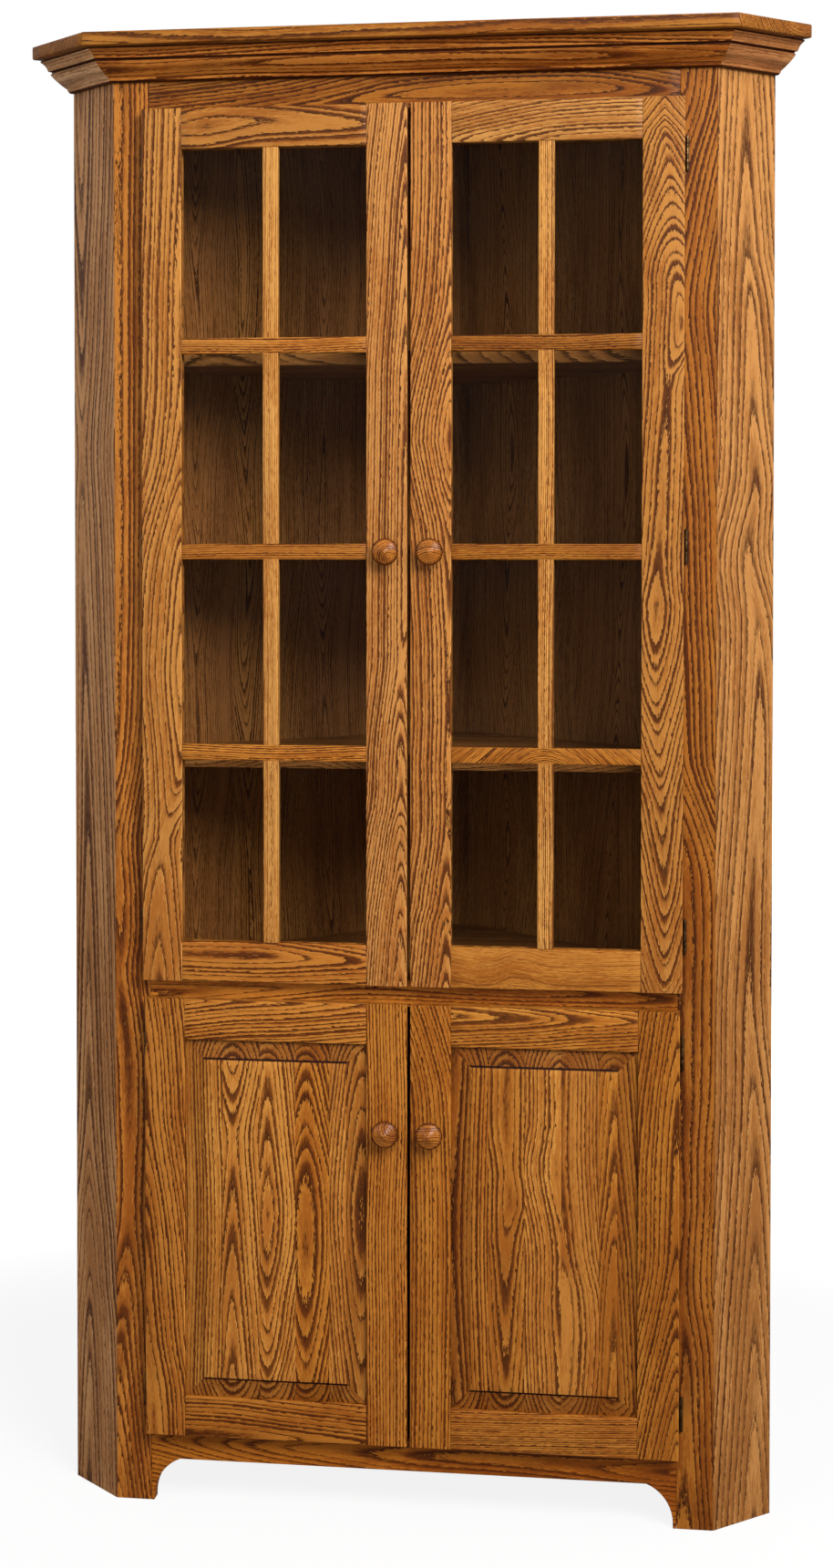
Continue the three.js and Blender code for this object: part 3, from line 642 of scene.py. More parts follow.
@dataclass(frozen=True)
class Lie:
    """Which way a board lies: along its grain, across its face and in from its face."""

    along: Vector
    across: Vector
    inward: Vector
    origin: Vector = field(default_factory=Vector)

    def place(self, point: Vector) -> Vector:
        """Gives a point's place along, across and below the face."""
        arm = point - self.origin
        return Vector((arm.dot(self.along), arm.dot(self.across), arm.dot(self.inward)))

    def at(self, origin: Vector) -> "Lie":
        """Gives the same lie from another origin."""
        return Lie(self.along, self.across, self.inward, origin)


X, Y, Z = Vector((1, 0, 0)), Vector((0, 1, 0)), Vector((0, 0, 1))
UPRIGHT = Lie(Z, X, Y, Y * FACE)
LEVEL = Lie(X, Z, Y, Y * FACE)
SHELF = Lie(X, Y, -Z)
END_GRAIN = Lie(Y, X, Z)


@dataclass(frozen=True)
class Oak:
    """Flat-sawn oak under a satin lacquer, which reads the grain marks of its board."""

    name: str
    pale: Colour
    warm: Colour
    pore: Colour
    roughness: float = 0.45
    gloss: float = 0.1
    mottle: float = 0.16  # how much the stain pools in broad smudges

    WANDER: ClassVar[float] = 5 * MM  # how far the rings' centre strays

    def material(self) -> bpy.types.Material:
        """Builds the material.

        Returns:
            The finished material.
        """
        material, bench = Bench.fresh(self.name)
        read = {
            name: bench.node("ShaderNodeAttribute", {"attribute_name": name}, {}, "Vector")
            for name in ("grain", "figure", "tint")
        }
        along, across, below = read["grain"].parts()
        rings, start, contrast = read["figure"].parts()

        def stretched(
            length: float, width: float, detail: float = 0.0, output: str | int = 0
        ) -> Wire:
            """Adds noise that is stretched along the grain."""
            place = bench.vector(along * length, across * width, below * width)
            return bench.noise(place, detail, output)

        sideways, deeper, _ = stretched(5, 16, 1.0, "Color").parts()
        aside = across + (sideways - 0.5) * self.WANDER
        pith = below + (deeper - 0.5) * self.WANDER
        count = (aside * aside + pith * pith).math("SQRT") / rings + start
        uneven = bench.drift(count * 0.9 + rings * 3000)

        torn, streak = stretched(110, 700, 2.0), stretched(42, 400, 1.0)
        cloud = stretched(4, 30, 2.0)
        count = count + (uneven - 0.5) * 0.8 + (torn - 0.5) * 0.7
        within = count.math("FRACT")
        values = {"W": count.math("FLOOR")}
        year = bench.node("ShaderNodeTexWhiteNoise", {"noise_dimensions": "1D"}, values)
        early = within.ease(0.0, 0.06) * (1 - within.ease(year * 0.16 + 0.1, year * 0.3 + 0.36))
        broken = streak.ease(0.32, 0.5)
        open_grain = early * (year * 0.7 + 0.55) * (broken * 0.4 + 0.6)
        rim = within.ease(0.0, 0.05) * (1 - within.ease(0.06, 0.24)) * (broken * 0.6 + 0.4)

        pores = stretched(150, 2600).ease(0.52, 0.66) * (open_grain * 0.75 + 0.25)
        dark = (open_grain + pores * 0.3) * contrast
        deep = tuple(0.4 * value for value in self.pore)
        fleck = torn.ease(0.36, 0.64) + streak.ease(0.36, 0.64) * 0.7 - 0.85
        mellow = cloud.ease(0.3, 0.7) * 1.2 - within.ease(0.5, 1.0) * 0.5 + fleck * 0.8
        colour = bench.blend(mellow, self.pale, self.warm)
        pooled = stretched(9, 45, 2.0).ease(0.48, 0.72)
        colour = bench.blend(pooled * self.mottle, colour, self.pore)
        colour = bench.blend(dark.math("MINIMUM", 1.0), colour, self.pore)
        colour = bench.blend((rim * contrast * 0.75).math("MINIMUM", 1.0), colour, deep)
        # the tint carries each face's painted shade and highlights along with the board's own tone
        # and stain
        colour = bench.blend(1.0, colour, read["tint"], "MULTIPLY")

        bench.surface({
            "Base Color": colour,
            "Roughness": pores * 0.2 + cloud * 0.1 + (self.roughness - 0.05),
            "Normal": bench.bump(0.35, 0.25 * MM, 1 - pores * 0.7 - open_grain * 0.5),
            "Specular IOR Level": self.gloss,
            "Coat Weight": self.gloss * 0.3,
            "Coat Roughness": 0.18,
        })
        return material


@dataclass(frozen=True)
class Brass:
    """Antique brass, tarnished in blotches."""

    name: str = "antique_brass"
    bright: Colour = stain(104, 82, 54)
    tarnish: Colour = stain(50, 36, 22)

    def material(self) -> bpy.types.Material:
        """Builds the material.

        Returns:
            The finished material.
        """
        material, bench = Bench.fresh(self.name)
        blotch = bench.noise(bench.scaled(140.0), 3.0).ease(0.35, 0.65)
        grit = bench.noise(bench.scaled(900.0), 2.0)
        bench.surface({
            "Base Color": bench.blend(blotch, self.bright, self.tarnish),
            "Metallic": 1.0,
            "Roughness": blotch * 0.2 + grit * 0.12 + 0.22,
            "Normal": bench.bump(0.25, 0.1 * MM, grit),
        })
        return material


@dataclass(frozen=True)
class Glass:
    """Thin clear panes with a little dust, seen most where they are looked at aslant."""

    name: str = "clear_glass"
    veil: Colour = stain(38, 36, 30)

    def material(self) -> bpy.types.Material:
        """Builds the material.

        Returns:
            The finished material.
        """
        material, bench = Bench.fresh(self.name)
        dust = bench.noise(bench.scaled(5.0), 3.0)
        edge = bench.node("ShaderNodeLayerWeight", {}, {"Blend": 0.3}, "Facing")
        bench.surface({
            "Base Color": (*self.veil, 1.0),
            "Roughness": dust * 0.05 + 0.02,
            "Alpha": dust * 0.05 + edge * edge * 0.4 + 0.01,
        })
        return material


class Finishes:
    """All the finishes of the cupboard, by the slot that takes them."""

    OAKS = {
        "door_oak": Oak(
            "golden_door_oak", stain(197, 131, 59), stain(168, 99, 36), stain(100, 51, 14),
        ),
        "face_oak": Oak(
            "russet_frame_oak", stain(178, 111, 46), stain(145, 78, 24), stain(90, 43, 11),
            mottle=0.34,
        ),
        "return_oak": Oak(
            "light_side_oak", stain(216, 152, 84), stain(178, 114, 54), stain(96, 52, 20),
        ),
        "inside_oak": Oak(
            "shaded_inside_oak", stain(172, 116, 58), stain(142, 90, 40), stain(72, 40, 16),
            roughness=0.6, gloss=0.04, mottle=0.1,
        ),
        "knob_oak": Oak(
            "turned_knob_oak", stain(190, 116, 42), stain(150, 82, 24), stain(88, 40, 8),
            roughness=0.12, gloss=0.14,
        ),
    }

    def __init__(self) -> None:
        """Makes each material once."""
        self.by_slot = {slot: oak.material() for slot, oak in self.OAKS.items()}
        self.by_slot["hinge_brass"] = Brass().material()
        self.by_slot["glass"] = Glass().material()

    def __getitem__(self, slot: str) -> bpy.types.Material:
        """Gives the material of a slot."""
        return self.by_slot[slot]


class TurnedRow:
    """A node tree that turns one profile on a lathe and repeats it in a row."""

    STATIONS = 40
    THINNEST = 0.02 * MM  # radius that closes a tip
    SHARP = math.radians(45)

    def __init__(self, name: str, profile: Sequence[tuple[float, float]]) -> None:
        """Builds the tree.

        Args:
            name: The tree's name.
            profile: Shares of the height and of the radius, from the foot to the tip.
        """
        self.name = name
        self.tree = bpy.data.node_groups.new(name, "GeometryNodeTree")
        self.sockets = {}
        for label, kind in (
            ("Count", "NodeSocketInt"),
            ("Step", "NodeSocketVector"),
            ("Radius", "NodeSocketFloat"),
            ("Height", "NodeSocketFloat"),
            ("Sides", "NodeSocketInt"),
            ("Finish", "NodeSocketMaterial"),
        ):
            socket = self.tree.interface.new_socket(label, in_out="INPUT", socket_type=kind)
            self.sockets[label] = socket.identifier
        self.tree.interface.new_socket("Turned", in_out="OUTPUT", socket_type="NodeSocketGeometry")
        self.build(profile)

    def build(self, profile: Sequence[tuple[float, float]]) -> None:
        """Fills the tree.

        Args:
            profile: Shares of the height and of the radius, from the foot to the tip.
        """
        bench = Bench(self.tree)
        sizes = bench.node("NodeGroupInput").socket.node.outputs
        size = {name: Wire(bench, sizes[name]) for name in self.sockets}
        line = bench.node("GeometryNodeCurvePrimitiveLine", {}, {"End": (0.0, 0.0, 1.0)})
        line = bench.node("GeometryNodeResampleCurve", {}, {"Curve": line, "Count": self.STATIONS})
        factor = bench.node("GeometryNodeSplineParameter")
        last = len(profile) - 1
        height, radius = (
            bench.node(
                "ShaderNodeFloatCurve",
                {"points": [(number / last, share) for number, share in enumerate(shares)]},
                {"Value": factor},
            )
            for shares in zip(*profile)
        )
        place = bench.vector(0.0, 0.0, height * size["Height"])
        line = bench.node("GeometryNodeSetPosition", {}, {"Geometry": line, "Position": place})
        reach = (radius * size["Radius"]).math("MAXIMUM", self.THINNEST)
        values = {"Resolution": size["Sides"], "Radius": 1.0}
        ring = bench.node("GeometryNodeCurvePrimitiveCircle", {}, values)
        values = {"Curve": line, "Profile Curve": ring, "Scale": reach, "Fill Caps": True}
        turned = bench.node("GeometryNodeCurveToMesh", {}, values)
        values = {"Count": size["Count"], "Offset": size["Step"]}
        points = bench.node("GeometryNodeMeshLine", {"mode": "OFFSET"}, values)
        values = {"Points": points, "Instance": turned}
        row = bench.node("GeometryNodeInstanceOnPoints", {}, values)
        row = bench.node("GeometryNodeRealizeInstances", {}, {"Geometry": row})
        values = {"Geometry": row, "Material": size["Finish"]}
        row = bench.node("GeometryNodeSetMaterial", {}, values)
        bench.node("NodeGroupOutput", {}, {"Turned": row})

    def mesh(
        self,
        finish: bpy.types.Material,
        radius: float,
        height: float,
        count: int = 1,
        step: Vector = Vector(),
        sides: int = 24,
    ) -> bpy.types.Mesh:
        """Turns a row along the local Z axis.

        Args:
            finish: What the turnings are made of.
            radius: Their widest radius.
            height: Their height.
            count: How many there are.
            step: From each to the next.
            sides: Facets round each.

        Returns:
            The row as a plain mesh.
        """
        maker = bpy.data.objects.new(self.name, bpy.data.meshes.new(self.name))
        bpy.context.scene.collection.objects.link(maker)
        modifier = maker.modifiers.new(self.name, "NODES")
        modifier.node_group = self.tree
        values = {"Count": count, "Step": step, "Radius": radius, "Height": height,
                  "Sides": sides, "Finish": finish}
        for label, value in values.items():
            modifier[self.sockets[label]] = value
        graph = bpy.context.evaluated_depsgraph_get()
        mesh = bpy.data.meshes.new_from_object(maker.evaluated_get(graph))
        maker.modifiers.remove(modifier)
        bpy.data.objects.remove(maker)
        mesh.shade_smooth()
        mesh.set_sharp_from_angle(angle=self.SHARP)
        return mesh


Boards = Sequence[tuple[Lie, Log]]
Choose = Callable[[Vector], int]
# a face's stain and painted light: below 1 darkens, above 1 lightens
StainAndLight = Callable[[Vector, Vector], float]


def facing(direction: Vector) -> Matrix:
    """Turns the local Z axis to a direction, and keeps local Y as upright as can be.

    Args:
        direction: Where the Z axis goes.

    Returns:
        The turn.
    """
    ahead = direction.normalized()
    side = Z.cross(ahead) if abs(ahead.z) < 0.99 else X
    side.normalize()
    return Matrix((side, ahead.cross(side), ahead)).transposed().to_4x4()


@dataclass
class Wood:
    """What a wooden piece is made of, and how it is finished."""

    node: str
    slot: str
    body: str
    boards: Boards
    lies: Sequence[Lie]  # the ways that its boards run
    planes: Sequence[Plane] = ()  # where its boards meet
    ease: float = 0.6 * MM
    word: str = "board"
    choose: Choose = lambda spot: 0  # gives the board that a face's middle lies on
    soak: StainAndLight = lambda spot, normal: 1.0  # the face's stain and painted light: below 1 for stain and painted shade, above 1 for a painted highlight


class Workshop:
    """Makes finished pieces and hands them to the frame."""

    WELD = 0.01 * MM
    STEP = 22 * MM  # between the stations that a board's grain is marked at
    CLEAR = 2 * MM  # kept between such a station and a corner
    FLAT = math.radians(0.5)
    SHARP = math.radians(50)
    SOAK = (1.0, 1.25, 1.6)  # how steeply red, green and blue fall under stain and painted shade, and rise under a painted highlight

    def __init__(self, frame: dict) -> None:
        """Keeps the frame and makes the finishes and the lathe's patterns.
        """
        self.frame = frame
        self.finishes = Finishes()
        self.dome = TurnedRow("dome_heads", [
            (math.sin(math.radians(a)), math.cos(math.radians(a))) for a in range(0, 91, 6)
        ])
        self.sleeve = TurnedRow("hinge_knuckles", [
            (0.0, 0.86), (0.02, 0.96), (0.05, 1.0), (0.2, 1.0), (0.5, 1.0), (0.8, 1.0),
            (0.95, 1.0), (0.98, 0.96), (1.0, 0.86),
        ])

    def copied(self, node: str) -> bmesh.types.BMesh:
        """Copies a node's mesh, welds it and makes its flat faces whole.

        Args:
            node: The CAD node.

        Returns:
            The copy, for more work.
        """
        form = bmesh.new()
        form.from_mesh(self.frame["nodes"][node].data)
        bmesh.ops.remove_doubles(form, verts=form.verts, dist=self.WELD)
        bmesh.ops.dissolve_limit(form, angle_limit=self.FLAT, verts=form.verts, edges=form.edges)
        return form

    def scored(
        self, form: bmesh.types.BMesh, lies: Iterable[Lie], planes: Iterable[Plane] = ()
    ) -> bpy.types.Mesh:
        """Scores a form where boards meet, and at short steps along their grain.

        Args:
            form: The form, which is used up.
            lies: How its boards lie.
            planes: A point and a normal of each plane where boards meet.

        Returns:
            The scored mesh.
        """
        cuts = list(planes)
        for lie in lies:
            places = [lie.place(vertex.co).x for vertex in form.verts]
            low, high = min(places), max(places)
            count = max(int((high - low) / self.STEP), 1)
            for number in range(1, count):
                cut = low + (high - low) * number / count
                if all(abs(cut - place) > self.CLEAR for place in places):
                    cuts.append((lie.origin + lie.along * cut, lie.along))
        for point, normal in cuts:
            whole = [*form.verts, *form.edges, *form.faces]
            bmesh.ops.bisect_plane(form, geom=whole, plane_co=point, plane_no=normal)
        mesh = bpy.data.meshes.new("scored")
        form.to_mesh(mesh)
        form.free()
        return mesh

    @staticmethod
    def prism(
        plan: Sequence[tuple[float, float]],
        low: float,
        high: float,
        form: bmesh.types.BMesh | None = None,
    ) -> bmesh.types.BMesh:
        """Raises a plan into an upright prism.

        Args:
            plan: Its corners on plan.
            low: Height of its underside.
            high: Height of its top.
            form: The form that it joins, if there is one.

        Returns:
            The form, with its faces outwards, for more work.
        """
        form = form or bmesh.new()
        foot, head = ([form.verts.new((x, y, z)) for x, y in plan] for z in (low, high))
        for ring in (foot, head, *zip(foot[-1:] + foot, foot, head, head[-1:] + head)):
            form.faces.new(ring)
        bmesh.ops.recalc_face_normals(form, faces=form.faces)
        return form

    def eased(self, mesh: bpy.types.Mesh, width: float) -> bpy.types.Mesh:
        """Rounds a mesh's sharp edges a little.

        Args:
            mesh: The mesh, which is used up.
            width: How far each edge is eased.

        Returns:
            The eased mesh.
        """
        mesh.shade_smooth()
        mesh.set_sharp_from_angle(angle=self.SHARP)
        maker = bpy.data.objects.new("easing", mesh)
        bpy.context.scene.collection.objects.link(maker)
        bevel = maker.modifiers.new("ease", "BEVEL")
        bevel.width = width
        bevel.segments = 2
        bevel.limit_method = "ANGLE"
        bevel.angle_limit = self.SHARP
        bevel.harden_normals = True
        graph = bpy.context.evaluated_depsgraph_get()
        eased = bpy.data.meshes.new_from_object(maker.evaluated_get(graph))
        bpy.data.objects.remove(maker)
        return eased

    def mark(self, mesh: bpy.types.Mesh, boards: Boards, choose: Choose, soak: StainAndLight) -> None:
        """Writes the marks that the oak reads: each board's grain and figure, and its tint times
        each face's stain and painted light.

        Args:
            mesh: The mesh to mark.
            boards: The boards in it.
            choose: Gives the board that a face's middle lies on.
            soak: Gives a face's stain and painted light, from its middle and normal: below 1 for
                stain and painted shade, above 1 for a painted highlight.
        """
        marks = {name: [0.0] * (3 * len(mesh.loops)) for name in ("grain", "figure", "tint")}
        known = {}
        for face in mesh.polygons:
            number = choose(face.center)
            lie, log = boards[number]
            light = soak(face.center, face.normal)
            # the board's tint times the face's stain and painted light
            stained = [tone * light**way for tone, way in zip(log.tint, self.SOAK)]
            for corner, vertex in zip(face.loop_indices, face.vertices):
                if (number, vertex) not in known:
                    spot = lie.place(mesh.vertices[vertex].co)
                    across, depth, count = log.pith(spot.x / MM)
                    grain = spot + Vector((0, -across * MM, depth * MM))
                    figure = (log.rings * MM, count - abs(depth) / log.rings, log.contrast)
                    known[number, vertex] = grain, figure
                grain, figure = known[number, vertex]
                for name, value in (("grain", grain), ("figure", figure), ("tint", stained)):
                    marks[name][3 * corner : 3 * corner + 3] = value
        for name, values in marks.items():
            layer = mesh.attributes.new(name, "FLOAT_VECTOR", "CORNER")
            layer.data.foreach_set("vector", values)

    def deliver(
        self, name: str, mesh: bpy.types.Mesh, slot: str, body: str, nodes: Sequence[str] = ()
    ) -> None:
        """Puts a finished mesh in the scene and on its body.

        Args:
            name: The piece's name.
            mesh: Its mesh, in place.
            slot: The slot of its finish.
            body: The body that it moves with.
            nodes: The CAD nodes that it stands for.
        """
        mesh.materials.clear()
        mesh.materials.append(self.finishes[slot])
        piece = bpy.data.objects.new(name, mesh)
        bpy.context.scene.collection.objects.link(piece)
        if nodes:
            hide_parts(*nodes)
        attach(piece, body)
        LOG.info("%s: %d faces, rides on %s", name, len(mesh.polygons), body)

    def finish(self, form: bmesh.types.BMesh, wood: Wood) -> None:
        """Scores, eases, marks and delivers a wooden form.

        Args:
            form: The form, which is used up.
            wood: What it is made of.
        """
        mesh = self.eased(self.scored(form, wood.lies, wood.planes), wood.ease)
        self.mark(mesh, wood.boards, wood.choose, wood.soak)
        self.deliver(f"{wood.node}_{wood.word}", mesh, wood.slot, wood.body, [wood.node])

    @staticmethod
    def logs(node: str, count: int = 1) -> tuple[Log, ...]:
        """Gives the log of each of a node's boards, in order across it."""
        return LOGS.get(node) or tuple(chance_log(f"{node} {number}") for number in range(count))

    def staves(
        self, node: str, form: bmesh.types.BMesh, lie: Lie, seams: Sequence[float]
    ) -> list[tuple[Lie, Log]]:
        """Finds the boards that a form is glued from.

        Args:
            node: The CAD node.
            form: The node's form.
            lie: Which way its boards lie.
            seams: Where the boards meet, measured across.

        Returns:
            Each board's lie from its own middle, and its log.
        """
        places = [lie.place(vertex.co).y for vertex in form.verts]
        edges = [min(places), *seams, max(places)]
        middles = [(low + high) / 2 for low, high in zip(edges, edges[1:])]
        lies = [lie.at(lie.origin + lie.across * middle) for middle in middles]
        return list(zip(lies, self.logs(node, len(lies))))

    def board(
        self,
        node: str,
        slot: str,
        body: str,
        lie: Lie,
        seams: Sequence[float] = (),
        ease: float = Wood.ease,
        soak: StainAndLight = Wood.soak,
    ) -> None:
        """Finishes a node that is one board, or boards glued edge to edge.

        Args:
            node: The CAD node.
            slot: The slot of its finish.
            body: The body that it moves with.
            lie: Which way its boards lie.
            seams: Where the boards meet, measured across.
            ease: How far its edges are eased.
            soak: Gives a face's stain and painted light: below 1 for stain and painted shade,
                above 1 for a painted highlight.
        """
        form = self.copied(node)
        boards = self.staves(node, form, lie, seams)
        planes = [(lie.origin + lie.across * seam, lie.across) for seam in seams]
        self.finish(form, Wood(
            node, slot, body, boards, [lie], planes, ease,
            choose=lambda spot: sum(lie.place(spot).y > seam for seam in seams), soak=soak,
        ))

    def turning(
        self,
        name: str,
        pattern: TurnedRow,
        slot: str,
        body: str,
        place: Matrix,
        nodes: Sequence[str] = (),
        boards: Boards = (),
        soak: StainAndLight = Wood.soak,
        **sizes: object,
    ) -> None:
        """Delivers a row of turnings.

        Args:
            name: The piece's name.
            pattern: The pattern that turns it.
            slot: The slot of its finish.
            body: The body that it moves with.
            place: Takes its local Z axis to where it stands.
            nodes: The CAD nodes that it stands for.
            boards: The board that it is turned from, if it is wood.
            soak: Gives a face's stain and painted light: below 1 for stain and painted shade,
                above 1 for a painted highlight.
            **sizes: What the pattern's mesh() takes.
        """
        mesh = pattern.mesh(self.finishes[slot], **sizes)
        mesh.transform(place)
        if boards:
            self.mark(mesh, boards, Wood.choose, soak)
        self.deliver(name, mesh, slot, body, nodes)

    def heads(
        self,
        name: str,
        body: str,
        foot: Vector,
        out: Vector,
        sizes: tuple[float, float],
        **row: object,
    ) -> None:
        """Sets a row of domed brass heads.

        Args:
            name: The piece's name.
            body: The body that it moves with.
            foot: Where the first head stands.
            out: Which way its face looks.
            sizes: Radius and height of each.
            **row: Their count, step and sides, where they aren't the usual ones.
        """
        place = Matrix.Translation(foot) @ facing(out)
        radius, height = sizes
        self.turning(name, self.dome, "hinge_brass", body, place,
                     radius=radius, height=height, **row)


@dataclass
class Carcass:
    """The fixed body: back, returns, face frame, decks, shelves, cap and crown."""

    shop: Workshop
    body: str = "carcass"
    face_half: float = 0.424
    thickness: float = 0.019
    mitre_gap: float = 0.00016
    stile_top: float = 2.0637
    crown_top: float = 2.064
    crown_height: float = 0.0413
    crown_reach: float = 0.055
    crown_shadow: float = 0.16  # painted shade in the crown's hollows, which these shares of the crown's height, from its top, bound
    crown_hollows: tuple[tuple[float, float], ...] = (
        (-math.inf, 0.06), (0.33, 0.41), (0.95, math.inf),
    )
    back_nails: int = 12
    nail_inset: float = 0.012
    nail_margin: float = 0.04
    nail_sizes: tuple[float, float] = (0.0026, 0.0005)

    def build(self) -> None:
        """Builds the whole carcass."""
        self.build_back()
        self.build_shelves()
        self.build_returns()
        self.build_face_frame()
        self.build_top()

    @staticmethod
    def shared(low: float, high: float, count: int) -> list[float]:
        """Divides a width into equal boards, and gives their seams."""
        return [low + (high - low) * step / count for step in range(1, count)]

    def build_back(self) -> None:
        """Builds the two back panels, their nails and the corner post."""
        for side in Side:
            out, along_wall = side.rearward, -side.outward
            node = f"{side.word}_back_panel"
            low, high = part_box(node)
            ends = sorted(p.dot(along_wall) for p in self.corners(low, high, side))
            points = self.shop.frame["nodes"][node].data.vertices
            lie = Lie(Z, along_wall, out, out * min(point.co.dot(out) for point in points))
            seams = self.shared(*ends, 5)
            self.shop.board(node, "inside_oak", self.body, lie, seams, 0.3 * MM)
            self.nail_back(side, out, along_wall, ends, (low, high))
        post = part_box("corner_post")[0]
        self.shop.board("corner_post", "inside_oak", self.body, UPRIGHT.at(Y * post.y))

    @staticmethod
    def corners(low: Vector, high: Vector, side: Side) -> tuple[Vector, Vector]:
        """Gives the far ends on plan of a panel that crosses its box from front to rear."""
        outer, inner = (low.x, high.x) if side is Side.LEFT else (high.x, low.x)
        return Vector((outer, low.y, 0)), Vector((inner, high.y, 0))

    def nail_back(
        self, side: Side, out: Vector, along: Vector, ends: list[float], box: tuple[Vector, Vector]
    ) -> None:
        """Drives two rows of nails into a back panel.

        Args:
            side: Which panel.
            out: Outwards from its back.
            along: Along the wall, towards the corner.
            ends: Where the panel starts and ends along the wall.
            box: Its lowest and highest corners.
        """
        low, high = box
        face = self.corners(low, high, side)[0].dot(out)
        margin = self.nail_margin
        rise = (high.z - low.z - 2 * margin) / (self.back_nails - 1)
        for row, spot in (
            ("outer", ends[0] + self.nail_inset), ("inner", ends[1] - self.nail_inset),
        ):
            foot = along * spot + out * face + Z * (low.z + margin)
            self.shop.heads(
                f"{side.word}_back_{row}_nails", self.body, foot, out, self.nail_sizes,
                count=self.back_nails, step=Vector((0, rise, 0)), sides=12,
            )

    def build_shelves(self) -> None:
        """Builds the decks and shelves, each glued from boards that run side to side."""
        for node in (
            "bottom_deck", "mid_deck", "lower_shelf",
            "upper_shelf_1", "upper_shelf_2", "upper_shelf_3",
        ):
            low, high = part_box(node)
            self.shop.board(node, "inside_oak", self.body, SHELF.at(Z * high.z),
                            self.shared(low.y, high.y, 4))

    def build_returns(self) -> None:
        """Builds the two side returns."""
        for side in Side:
            lie = Lie(Z, side.rearward, -side.outward, self.arris(side))
            self.shop.board(f"{side.word}_return", "return_oak", self.body, lie)

    def arris(self, side: Side) -> Vector:
        """Gives the foot of the edge where the face meets a return."""
        return Vector((side.value * self.face_half, FACE, 0))

    def build_face_frame(self) -> None:
        """Builds the stiles and rails of the face frame."""
        mitre = self.thickness * math.tan(math.pi / 8)
        for side in Side:
            node = f"{side.word}_face_stile"
            outer = self.face_half - self.mitre_gap
            plan = (
                (OPENING_HALF, 0.0), (outer, 0.0),
                (outer - mitre, self.thickness), (OPENING_HALF, self.thickness),
            )
            placed = [(side.value * x, y + FACE) for x, y in plan]
            middle = Vector((side.value * (OPENING_HALF + self.face_half) / 2, FACE, 0))
            self.shop.finish(self.shop.prism(placed, 0.0, self.stile_top), Wood(
                node, "face_oak", self.body, [(UPRIGHT.at(middle), *self.shop.logs(node))],
                [UPRIGHT], ease=0.8 * MM,
            ))
        for node in ("top_rail", "mid_rail", "bottom_rail"):
            self.shop.board(node, "face_oak", self.body, LEVEL)

    def build_top(self) -> None:
        """Builds the cap board and the three lengths of crown."""
        low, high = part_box("top_cap")
        seams = self.shared(low.y, high.y, 5)
        self.shop.board("top_cap", "face_oak", self.body, SHELF.at(Z * high.z), seams, 0.4 * MM)
        runs = [("front", X, -Y, Y * FACE, "face_oak")]
        for side in Side:
            runs.append((side.word, side.rearward, side.outward, self.arris(side), "return_oak"))
        slope = math.atan2(self.crown_height, self.crown_reach)
        middle = Z * (self.crown_top - self.crown_height / 2)
        for word, run, out, foot, slot in runs:
            lie = Lie(
                run,
                out * math.cos(slope) + Z * math.sin(slope),
                Z * math.cos(slope) - out * math.sin(slope),
                foot + out * self.crown_reach / 2 + middle,
            )
            self.shop.board(f"{word}_crown", slot, self.body, lie, ease=0.3 * MM,
                            soak=self.crown_soak)

    def crown_soak(self, spot: Vector, normal: Vector) -> float:
        """Paints shade on the crown under the cap, in the bed of its quirk and at its foot."""
        drop = (self.crown_top - spot.z) / self.crown_height
        return self.crown_shadow if any(a < drop < b for a, b in self.crown_hollows) else 1.0


